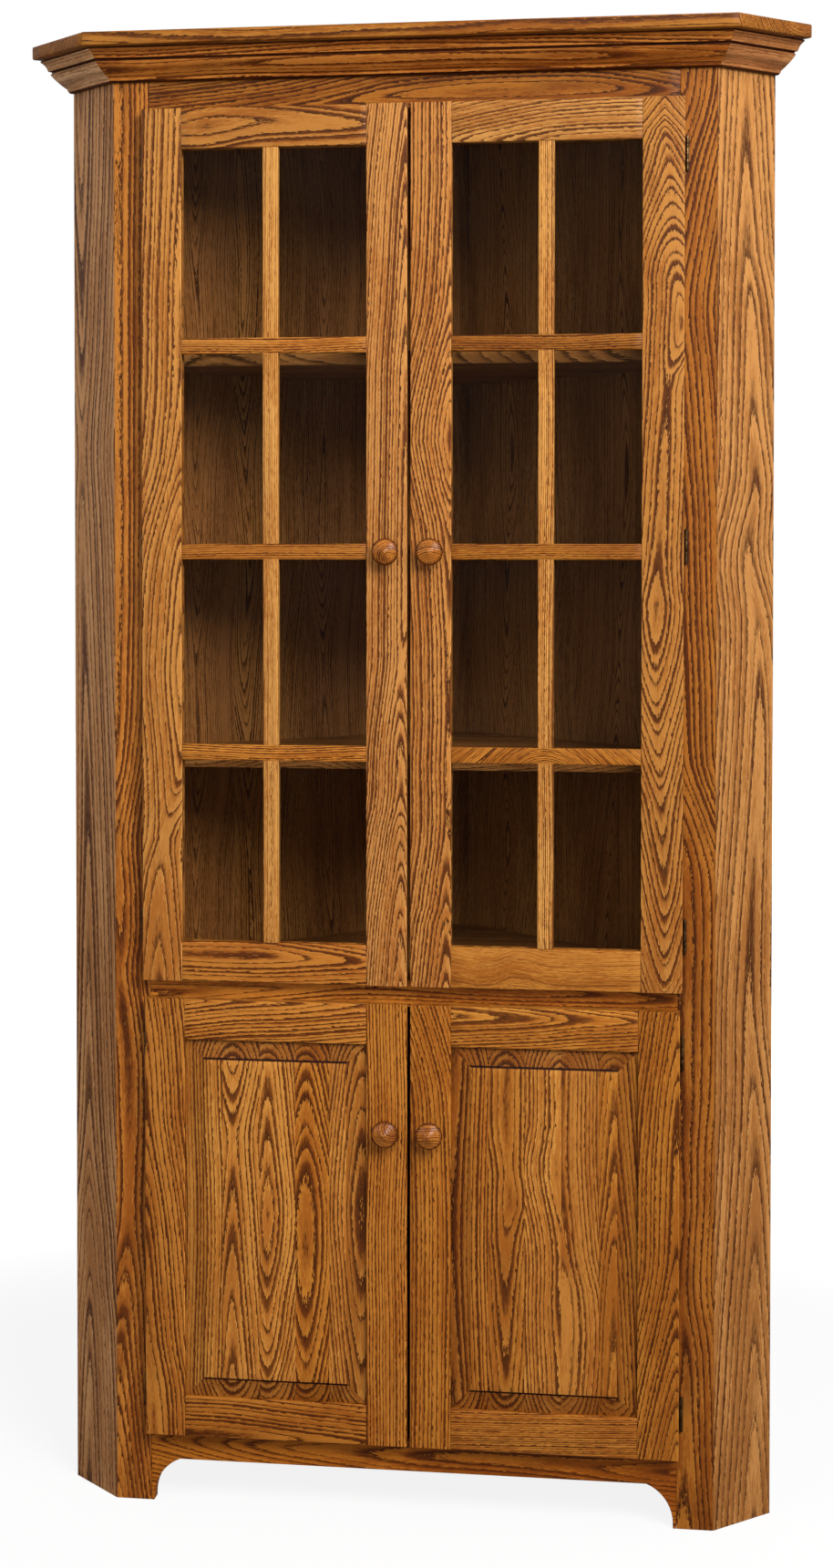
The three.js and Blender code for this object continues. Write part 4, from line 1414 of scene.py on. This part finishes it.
@dataclass
class Hinge:
    """One butt hinge: a leaf and knuckle on the door, and a wrapped leaf on the frame."""

    shop: Workshop
    name: str
    side: Side
    door_body: str
    door_edge: float
    height: float
    length: float = 0.047
    radius: float = 0.0024
    axis_out: float = 0.0032
    axis_front: float = 0.0032
    leaf: float = 0.00055
    door_leaf: float = 0.024
    frame_leaf: float = 0.015
    door_back: float = -0.0019
    play: float = 0.0003
    neck_lead: float = 0.0003  # how far the frame's necks swell forward at the barrel
    screws: int = 3
    screw_span: float = 0.66  # share of the length from the first screw to the last
    screw_shares: tuple[float, float] = (0.62, 0.6)  # of each leaf's width
    screw_sizes: tuple[float, float] = (0.0032, 0.0006)
    button_sizes: tuple[float, float] = (0.0021, 0.0013)

    @property
    def base(self) -> float:
        """Height of the hinge's lower end."""
        return self.height - self.length / 2

    @property
    def axis(self) -> float:
        """How far the barrel's axis is from the middle of the cupboard."""
        return self.door_edge + self.axis_out

    @property
    def third(self) -> float:
        """Height of one knuckle."""
        return self.length / 3

    def spot(self, x: float, y: float) -> tuple[float, float]:
        """Puts a point of the right-hand hinge's plan on this hinge's side."""
        return self.side.value * x, y + FACE

    def build(self) -> None:
        """Builds both halves and their screws."""
        self.build_leaf_on_door()
        self.build_leaf_on_frame()
        self.build_barrel()
        self.build_screws()

    def plate(self, name: str, plans: Iterable[tuple[list, float, float]], body: str,
              nodes: Sequence[str] = ()) -> None:
        """Cuts a plate from plans that stand on one another.

        Args:
            name: The piece's name.
            plans: The corners, low end and high end of each part.
            body: The body that it moves with.
            nodes: The CAD nodes that it stands for.
        """
        form = None
        for plan, low, high in plans:
            form = self.shop.prism([self.spot(*point) for point in plan], low, high, form)
        mesh = self.shop.eased(self.shop.scored(form, []), 0.12 * MM)
        self.shop.deliver(name, mesh, "hinge_brass", body, nodes)

    def build_leaf_on_door(self) -> None:
        """Cuts the leaf behind the door, with the tab that reaches the barrel."""
        front = self.door_back + self.play
        back = front + self.leaf
        edge, play = self.door_edge, self.play

        def strip(start: float, end: float) -> list[tuple[float, float]]:
            """Gives the plan of a strip of the leaf."""
            return [(start, front), (end, front), (end, back), (start, back)]

        tab = self.base + self.third + play, self.base + 2 * self.third - play
        self.plate(
            f"{self.name}_door_leaf",
            [
                (strip(edge - self.door_leaf, edge), self.base, self.base + self.length),
                (strip(edge - self.leaf, self.axis), *tab),
            ],
            self.door_body,
            [self.name],
        )

    def build_leaf_on_frame(self) -> None:
        """Cuts the leaf that wraps the edge of the opening."""
        front, inner, edge = -self.leaf, OPENING_HALF - self.leaf, self.door_edge
        wrap = [(inner, front), (edge, front), (edge, 0.0), (OPENING_HALF, 0.0),
                (OPENING_HALF, self.frame_leaf), (inner, self.frame_leaf)]
        neck = [(edge - self.leaf, front), (self.axis, front - self.neck_lead),
                (self.axis, 0.0), (edge - self.leaf, 0.0)]
        starts = (self.base, self.base + 2 * self.third)
        parts = [(wrap, self.base, self.base + self.length)]
        parts += [(neck, start, start + self.third) for start in starts]
        self.plate(f"{self.name}_frame_leaf", parts, Carcass.body)

    def build_barrel(self) -> None:
        """Turns the knuckles of both halves and the button tips of the pin."""
        third, shop = self.third, self.shop
        x, y = self.spot(self.axis, -self.axis_front)
        for word, body, start, sizes in (
            ("frame_knuckles", Carcass.body, 0.0,
             {"height": third, "count": 2, "step": Z * (2 * third)}),
            ("door_knuckle", self.door_body, third + self.play,
             {"height": third - 2 * self.play}),
        ):
            place = Matrix.Translation((x, y, self.base + start))
            shop.turning(f"{self.name}_{word}", shop.sleeve, "hinge_brass", body, place,
                         radius=self.radius, **sizes)
        for word, end, way in (("top", self.base + self.length, Z), ("bottom", self.base, -Z)):
            shop.heads(f"{self.name}_{word}_button", self.door_body, Vector((x, y, end)), way,
                       self.button_sizes)

    def build_screws(self) -> None:
        """Drives the screws into each leaf."""
        step = self.length * self.screw_span / (self.screws - 1)
        first = self.base + self.length * (1 - self.screw_span) / 2
        inset, deep = self.door_leaf * self.screw_shares[0], self.frame_leaf * self.screw_shares[1]
        for word, body, x, y, out in (
            ("door", self.door_body, self.door_edge - inset,
             self.door_back + self.play + self.leaf, Y),
            ("frame", Carcass.body, OPENING_HALF - self.leaf, deep, X * -self.side.value),
        ):
            self.shop.heads(
                f"{self.name}_{word}_screws", body, Vector((*self.spot(x, y), first)), out,
                self.screw_sizes, count=self.screws, step=Vector((0, step, 0)),
            )


@dataclass
class Door:
    """A framed door: stiles, rails, a knob and hinges."""

    shop: Workshop
    side: Side
    level: Level
    edge: float
    bottom: float
    top: float
    knob_height: float
    hinge_inset: float
    hinge_count: int
    member: float = 0.057
    lock_edge: float = 0.0025
    front: float = -0.0209
    back: float = -0.0019
    knob_radius: float = 0.019
    knob_projection: float = 0.030
    knob_screw: tuple[float, float] = (0.0045, 0.002)
    # how much lighter the painted highlight makes the front arrises
    arris_tone: float = 1.6
    arris_slant: float = 0.3  # least share of its normal that an arris turns aside
    rim_start: float = 0.0154  # radius where the knob's painted shade and end-grain stain start to deepen
    rim_width: float = 0.0024
    rim_depth: float = 0.75

    @property
    def name(self) -> str:
        """The door's name, as it starts its nodes' names."""
        return f"{self.level.value}_{self.side.word}"

    @property
    def body(self) -> str:
        """The body that the door is."""
        return f"{self.name}_door"

    def lie(self, way: Lie) -> Lie:
        """Gives a way to lie, measured from the door's front."""
        return way.at(Y * (FACE + self.front))

    def build(self) -> None:
        """Builds the door."""
        for part, way in (
            ("lock_stile", UPRIGHT), ("hinge_stile", UPRIGHT),
            ("bottom_rail", LEVEL), ("top_rail", LEVEL),
        ):
            self.shop.board(f"{self.name}_{part}", "door_oak", self.body, self.lie(way),
                            ease=0.5 * MM, soak=self.rub)
        self.build_filling()
        self.build_knob()
        step = (self.top - self.bottom - 2 * self.hinge_inset) / (self.hinge_count - 1)
        for number in range(self.hinge_count):
            Hinge(
                self.shop, f"{self.name}_hinge_{number + 1}", self.side, self.body, self.edge,
                self.bottom + self.hinge_inset + number * step,
            ).build()

    def rub(self, spot: Vector, normal: Vector) -> float:
        """Paints a highlight on the upright arrises at the front, where the eased edges catch the
        light.
        """
        aside = min(-normal.y, abs(normal.x)) > self.arris_slant
        return self.arris_tone if aside else 1.0

    def build_filling(self) -> None:
        """Builds what the frame holds."""
        raise NotImplementedError

    def build_knob(self) -> None:
        """Turns the knob and its screw."""
        x = self.side.value * (self.lock_edge + self.member / 2)
        middle = Vector((x, self.front + FACE, self.knob_height))
        grain = END_GRAIN.at(middle)

        def rim(spot: Vector, normal: Vector) -> float:
            """Darkens the knob round its rim: painted shade where its side turns away from the
            light, and some of the end grain's deeper stain.
            """
            outward = (grain.place(spot).yz.length - self.rim_start) / self.rim_width
            return 1 - self.rim_depth * min(max(outward, 0.0), 1.0)

        node = f"{self.name}_knob"
        self.shop.turning(
            f"{self.name}_turned_knob", KnobProfile.pattern(), "knob_oak", self.body,
            Matrix.Translation(middle) @ facing(-Y), [node],
            [(grain, *self.shop.logs(node))], rim,
            radius=self.knob_radius, height=self.knob_projection, sides=56,
        )
        foot = Vector((x, self.back + FACE, self.knob_height))
        self.shop.heads(f"{node}_screw", self.body, foot, Y, self.knob_screw, sides=20)


class KnobProfile:
    """The outline of the mushroom knobs, as shares of their projection and radius."""

    FOOT = (0.0, 0.56)
    BENDS = (
        ((0.1, 0.6), (0.22, 0.47)),
        ((0.36, 0.36), (0.46, 0.6)),
        ((0.5, 1.0), (0.64, 1.0)),
        ((0.84, 0.98), (0.96, 0.55)),
        ((0.995, 0.36), (1.0, 0.0)),
    )
    STEPS = 6
    _pattern: TurnedRow | None = None

    @classmethod
    def pattern(cls) -> TurnedRow:
        """Gives the lathe pattern, made when it is first wanted.

        Returns:
            The pattern.
        """
        if cls._pattern is None:
            cls._pattern = TurnedRow("mushroom_knobs", cls.stations())
        return cls._pattern

    @classmethod
    def stations(cls) -> list[tuple[float, float]]:
        """Follows the bends of the outline from the foot to the tip.

        Returns:
            The outline's points.
        """
        found, start = [cls.FOOT], cls.FOOT
        for pull, end in cls.BENDS:
            for step in range(1, cls.STEPS + 1):
                t = step / cls.STEPS
                found.append(tuple(
                    (1 - t) ** 2 * a + 2 * t * (1 - t) * b + t * t * c
                    for a, b, c in zip(start, pull, end)
                ))
            start = end
        return found


@dataclass
class GlazedDoor(Door):
    """A door with glass behind a lattice of four lights high and two wide."""

    bar_width: float = 0.022
    bar_heights: tuple[float, float, float] = (1.0767, 1.3594, 1.6480)
    upright: float = 0.0  # middle of the upright bar
    bead: float = 0.0095
    pins: int = 8
    pin_margin: float = 0.04
    pin_sizes: tuple[float, float] = (0.0011, 0.0004)

    def build_filling(self) -> None:
        """Builds the lattice, the pane and its beads."""
        half = self.bar_width / 2
        planes = [(Z * (height + way * half), Z) for height in self.bar_heights for way in (-1, 1)]
        planes += [(X * (self.upright + way * half), X) for way in (-1, 1)]
        node = f"{self.name}_lattice"
        middles = (X * self.upright, *(Z * height for height in self.bar_heights))
        ways = (UPRIGHT, LEVEL, LEVEL, LEVEL)
        self.build_bars(node, "bars", ways, middles, planes, self.bar_at)
        self.dress_glass()
        self.build_beads()

    def build_bars(
        self,
        node: str,
        word: str,
        ways: Sequence[Lie],
        middles: Iterable[Vector],
        planes: Sequence[Plane],
        choose: Choose,
    ) -> None:
        """Finishes a node that is a frame of thin bars.

        Args:
            node: The CAD node.
            word: What its piece is called after the node.
            ways: Which way each bar lies, upright ones first.
            middles: Where each bar's grain is measured from.
            planes: Where the bars meet.
            choose: Gives the bar that a face's middle lies on.
        """
        lies = [self.lie(way) for way in ways]
        placed = [lie.at(lie.origin + middle) for lie, middle in zip(lies, middles)]
        self.shop.finish(self.shop.copied(node), Wood(
            node, "door_oak", self.body, list(zip(placed, self.shop.logs(node, len(ways)))),
            lies[:2], planes, 0.3 * MM, word, choose,
        ))

    def bar_at(self, spot: Vector) -> int:
        """Tells which bar a point of the lattice lies on: 0 for the upright."""
        near = min(range(3), key=lambda index: abs(spot.z - self.bar_heights[index]))
        return near + 1 if abs(spot.z - self.bar_heights[near]) < self.bar_width / 2 else 0

    def dress_glass(self) -> None:
        """Gives the CAD pane its glass."""
        pane = self.shop.frame["nodes"][f"{self.name}_glass"]
        pane.data.materials.clear()
        pane.data.materials.append(self.shop.finishes["glass"])
        LOG.info("%s_glass: the pane keeps its solid", self.name)

    def build_beads(self) -> None:
        """Finishes the ring of beads behind the pane and pins it."""
        node = f"{self.name}_glass_stop"
        low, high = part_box(node)
        bead, margin = self.bead, self.pin_margin
        planes = [(Z * (low.z + bead), Z), (Z * (high.z - bead), Z)]
        self.build_bars(
            node, "beads", (UPRIGHT, LEVEL, LEVEL), (low, low, high), planes,
            lambda spot: 1 if spot.z < low.z + bead else 2 if spot.z > high.z - bead else 0,
        )
        step = (high.z - low.z - 2 * margin) / (self.pins - 1)
        for word, x in (("left", low.x + bead / 2), ("right", high.x - bead / 2)):
            foot = Vector((x, high.y, low.z + margin))
            self.shop.heads(f"{node}_{word}_pins", self.body, foot, Y, self.pin_sizes,
                            count=self.pins, step=Vector((0, step, 0)), sides=10)


@dataclass
class PanelledDoor(Door):
    """A door with a raised panel glued from staves."""

    seams: tuple[float, ...] = ()
    bevel: float = 0.028
    field_back: float = 0.0008  # how far the panel's field lies behind the door's front
    bevel_back: float = 0.009  # how deep the bevels reach, short of the panel's flat back
    quirk: float = 0.003  # the painted shadow line over and under the field
    end_steepness: float = 3.0  # how much closer the rings stand on an end-grain bevel
    skin: float = 0.0002  # how far behind the field's face a bevel starts
    # how light the painted shade leaves each part: the shadow line by the field, the end-grain
    # bevels (deeper stain and painted shade) and the side bevels (painted shade)
    quirk_tone: float = 0.07
    end_tone: float = 0.6
    side_tone: float = 0.76

    @property
    def rise(self) -> tuple[float, float]:
        """Heights of the field's lower and upper ends."""
        return (self.bottom + self.member + self.bevel, self.top - self.member - self.bevel)

    def build_filling(self) -> None:
        """Builds the raised panel, with arcs of end grain on its upper and lower bevels."""
        low, high = self.rise
        node = f"{self.name}_panel"
        lie = self.lie(UPRIGHT)
        form = self.shop.copied(node)
        boards = self.shop.staves(node, form, lie, self.seams)
        for number, (own, log) in enumerate(boards[:]):
            steep = Lie(own.along, own.across, own.inward * self.end_steepness, own.origin)
            across = log.pith(self.top / MM)[0]
            boards.append((steep, replace(log, stations=((0, across, 10, number * 0.3),))))
        planes = [(Z * place, Z) for place in (low - self.quirk, high + self.quirk)]
        planes += [(X * seam, X) for seam in self.seams]
        self.shop.finish(form, Wood(
            node, "door_oak", self.body, boards, [lie], planes, 0.35 * MM,
            choose=self.stave_at, soak=self.soak,
        ))

    def beyond(self, spot: Vector) -> tuple[float, float]:
        """Tells how far a point lies above or below the field, and how far beside it.

        Args:
            spot: The point.

        Returns:
            The two lengths, negative within the field's height and width.
        """
        low, high = self.rise
        inset = self.lock_edge + self.member + self.bevel, self.edge - self.member - self.bevel
        reach = spot.x * self.side.value
        return max(low - spot.z, spot.z - high), max(inset[0] - reach, reach - inset[1])

    def depth(self, spot: Vector) -> float:
        """Tells how far a point lies behind the door's front."""
        return spot.y - FACE - self.front

    def stave_at(self, spot: Vector) -> int:
        """Tells which stave a point lies on, counted on where a bevel cuts its end grain.

        Args:
            spot: The point.

        Returns:
            The stave's number among the panel's boards.
        """
        stave = sum(spot.x > seam for seam in self.seams)
        upright, level = self.beyond(spot)
        cut = upright > max(level, 0.0) and self.depth(spot) < self.bevel_back
        return stave + (len(self.seams) + 1 if cut else 0)

    def soak(self, spot: Vector, normal: Vector) -> float:
        """Paints shade on the bevels in the door's recess, more on the end-grain bevels, where the
        stain also soaks in deeper, and a painted shadow line by the field.

        Args:
            spot: The middle of a face.
            normal: Its normal.

        Returns:
            How light the face stayed under stain and painted shade.
        """
        if not self.field_back + self.skin <= self.depth(spot) < self.bevel_back:
            return 1.0
        upright, level = self.beyond(spot)
        if upright > max(level, 0.0):
            return self.quirk_tone if upright < self.quirk else self.end_tone
        return self.side_tone


@dataclass
class Studio:
    """A pale floor, soft lamps and the camera."""

    eye: Vector = field(default_factory=lambda: Vector((0.4472, -3.8145, 1.3760)))
    turn: float = 0.1480
    tilt: float = 0.0261
    roll: float = 0.0001
    lens: float = 58.93
    shift: tuple[float, float] = (0.0419, -0.1130)
    film: float = 36.0
    aim: float = 1.05  # height that the lamps point at
    floor_reach: float = 14.0
    floor_grey: float = 0.34
    floor_glow: float = 1.45

    def build(self) -> None:
        """Sets the view, the world, the lamps, the floor and the camera."""
        bpy.context.scene.view_settings.view_transform = "Standard"
        self.build_world()
        self.build_lamps()
        self.build_floor()
        self.build_camera()

    @staticmethod
    def placed(name: str, data: bpy.types.ID) -> bpy.types.Object:
        """Puts a lamp, a camera or a mesh in the scene.

        Args:
            name: Its name.
            data: What it holds.

        Returns:
            The new object.
        """
        item = bpy.data.objects.new(name, data)
        bpy.context.scene.collection.objects.link(item)
        return item

    def build_world(self) -> None:
        """Makes a white surround that lights the cupboard softly."""
        world = bpy.data.worlds.new("pale_room")
        world.use_nodes = True
        bpy.context.scene.world = world
        bench = Bench(world.node_tree)
        rays = bench.node("ShaderNodeLightPath").socket.node.outputs
        seen = Wire(bench, rays["Is Camera Ray"])
        for name in ("Is Glossy Ray", "Is Transmission Ray"):
            seen = seen.math("MAXIMUM", Wire(bench, rays[name]))
        values = {"Color": (1, 1, 1, 1), "Strength": seen * 0.65 + 0.35}
        shader = bench.node("ShaderNodeBackground", {}, values)
        bench.node("ShaderNodeOutputWorld", {}, {"Surface": shader})

    def build_lamps(self) -> None:
        """Hangs a wide key lamp in front on the right, and a weak fill on the left."""
        for name, spot, size, power in (
            ("key_lamp", (1.95, -3.05, 3.3), 2.2, 181.0),
            ("fill_lamp", (-2.6, -3.4, 2.0), 2.0, 26.0),
        ):
            light = bpy.data.lights.new(name, "AREA")
            light.size = size
            light.energy = power
            lamp = self.placed(name, light)
            lamp.location = spot
            aim = Vector((0, FACE, self.aim)) - Vector(spot)
            lamp.rotation_euler = aim.to_track_quat("-Z", "Y").to_euler()

    def build_floor(self) -> None:
        """Lays a pale floor."""
        mesh = bpy.data.meshes.new("floor")
        reach = self.floor_reach
        corners = [(-reach, -reach, 0), (reach, -reach, 0), (reach, reach, 0), (-reach, reach, 0)]
        mesh.from_pydata(corners, [], [(0, 1, 2, 3)])
        material, bench = Bench.fresh("pale_floor")
        values = {0: bench.scaled(1.0)}
        length = bench.node("ShaderNodeVectorMath", {"operation": "LENGTH"}, values, "Value")
        far = length.ease(0.9, 2.6)
        grey = (self.floor_grey,) * 3
        matt = bench.node("ShaderNodeBsdfDiffuse", {}, {"Color": (*grey, 1)})
        values = {"Color": (1, 1, 1, 1), "Strength": self.floor_glow}
        glow = bench.node("ShaderNodeEmission", {}, values)
        seen = bench.node("ShaderNodeLightPath", {}, {}, "Is Camera Ray")
        values = {0: seen * (far * 0.4 + 0.6), 1: matt, 2: glow}
        both = bench.node("ShaderNodeMixShader", {}, values)
        bench.node("ShaderNodeOutputMaterial", {}, {"Surface": both})
        mesh.materials.append(material)
        floor = self.placed("floor", mesh)

    def build_camera(self) -> None:
        """Stands the camera a little right of the middle, at chest height."""
        view = bpy.data.cameras.new("camera")
        view.lens = self.lens
        view.sensor_width = self.film
        view.shift_x, view.shift_y = self.shift
        camera = self.placed("camera", view)
        camera.location = self.eye
        camera.rotation_euler = (math.pi / 2 - self.tilt, self.roll, self.turn)
        bpy.context.scene.camera = camera


def main() -> None:
    """Builds the studio and every part of the cupboard."""
    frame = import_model()
    Studio().build()
    shop = Workshop(frame)
    Carcass(shop).build()
    for side, upright, seams in (
        (Side.LEFT, -0.1949, (-0.2645, -0.212, -0.160, -0.112)),
        (Side.RIGHT, 0.19095, (0.112, 0.163, 0.214, 0.266)),
    ):
        GlazedDoor(
            shop, side, Level.UPPER, edge=0.3794, bottom=0.7516, top=1.9817, knob_height=1.3594,
            hinge_inset=0.076, hinge_count=3, upright=upright,
        ).build()
        PanelledDoor(
            shop, side, Level.LOWER, edge=0.3764, bottom=0.1022, top=0.7255, knob_height=0.5466,
            hinge_inset=0.060, hinge_count=2, seams=seams,
        ).build()


if __name__ == "__main__":
    logging.basicConfig(level=logging.INFO, format="%(name)s: %(message)s")
    main()
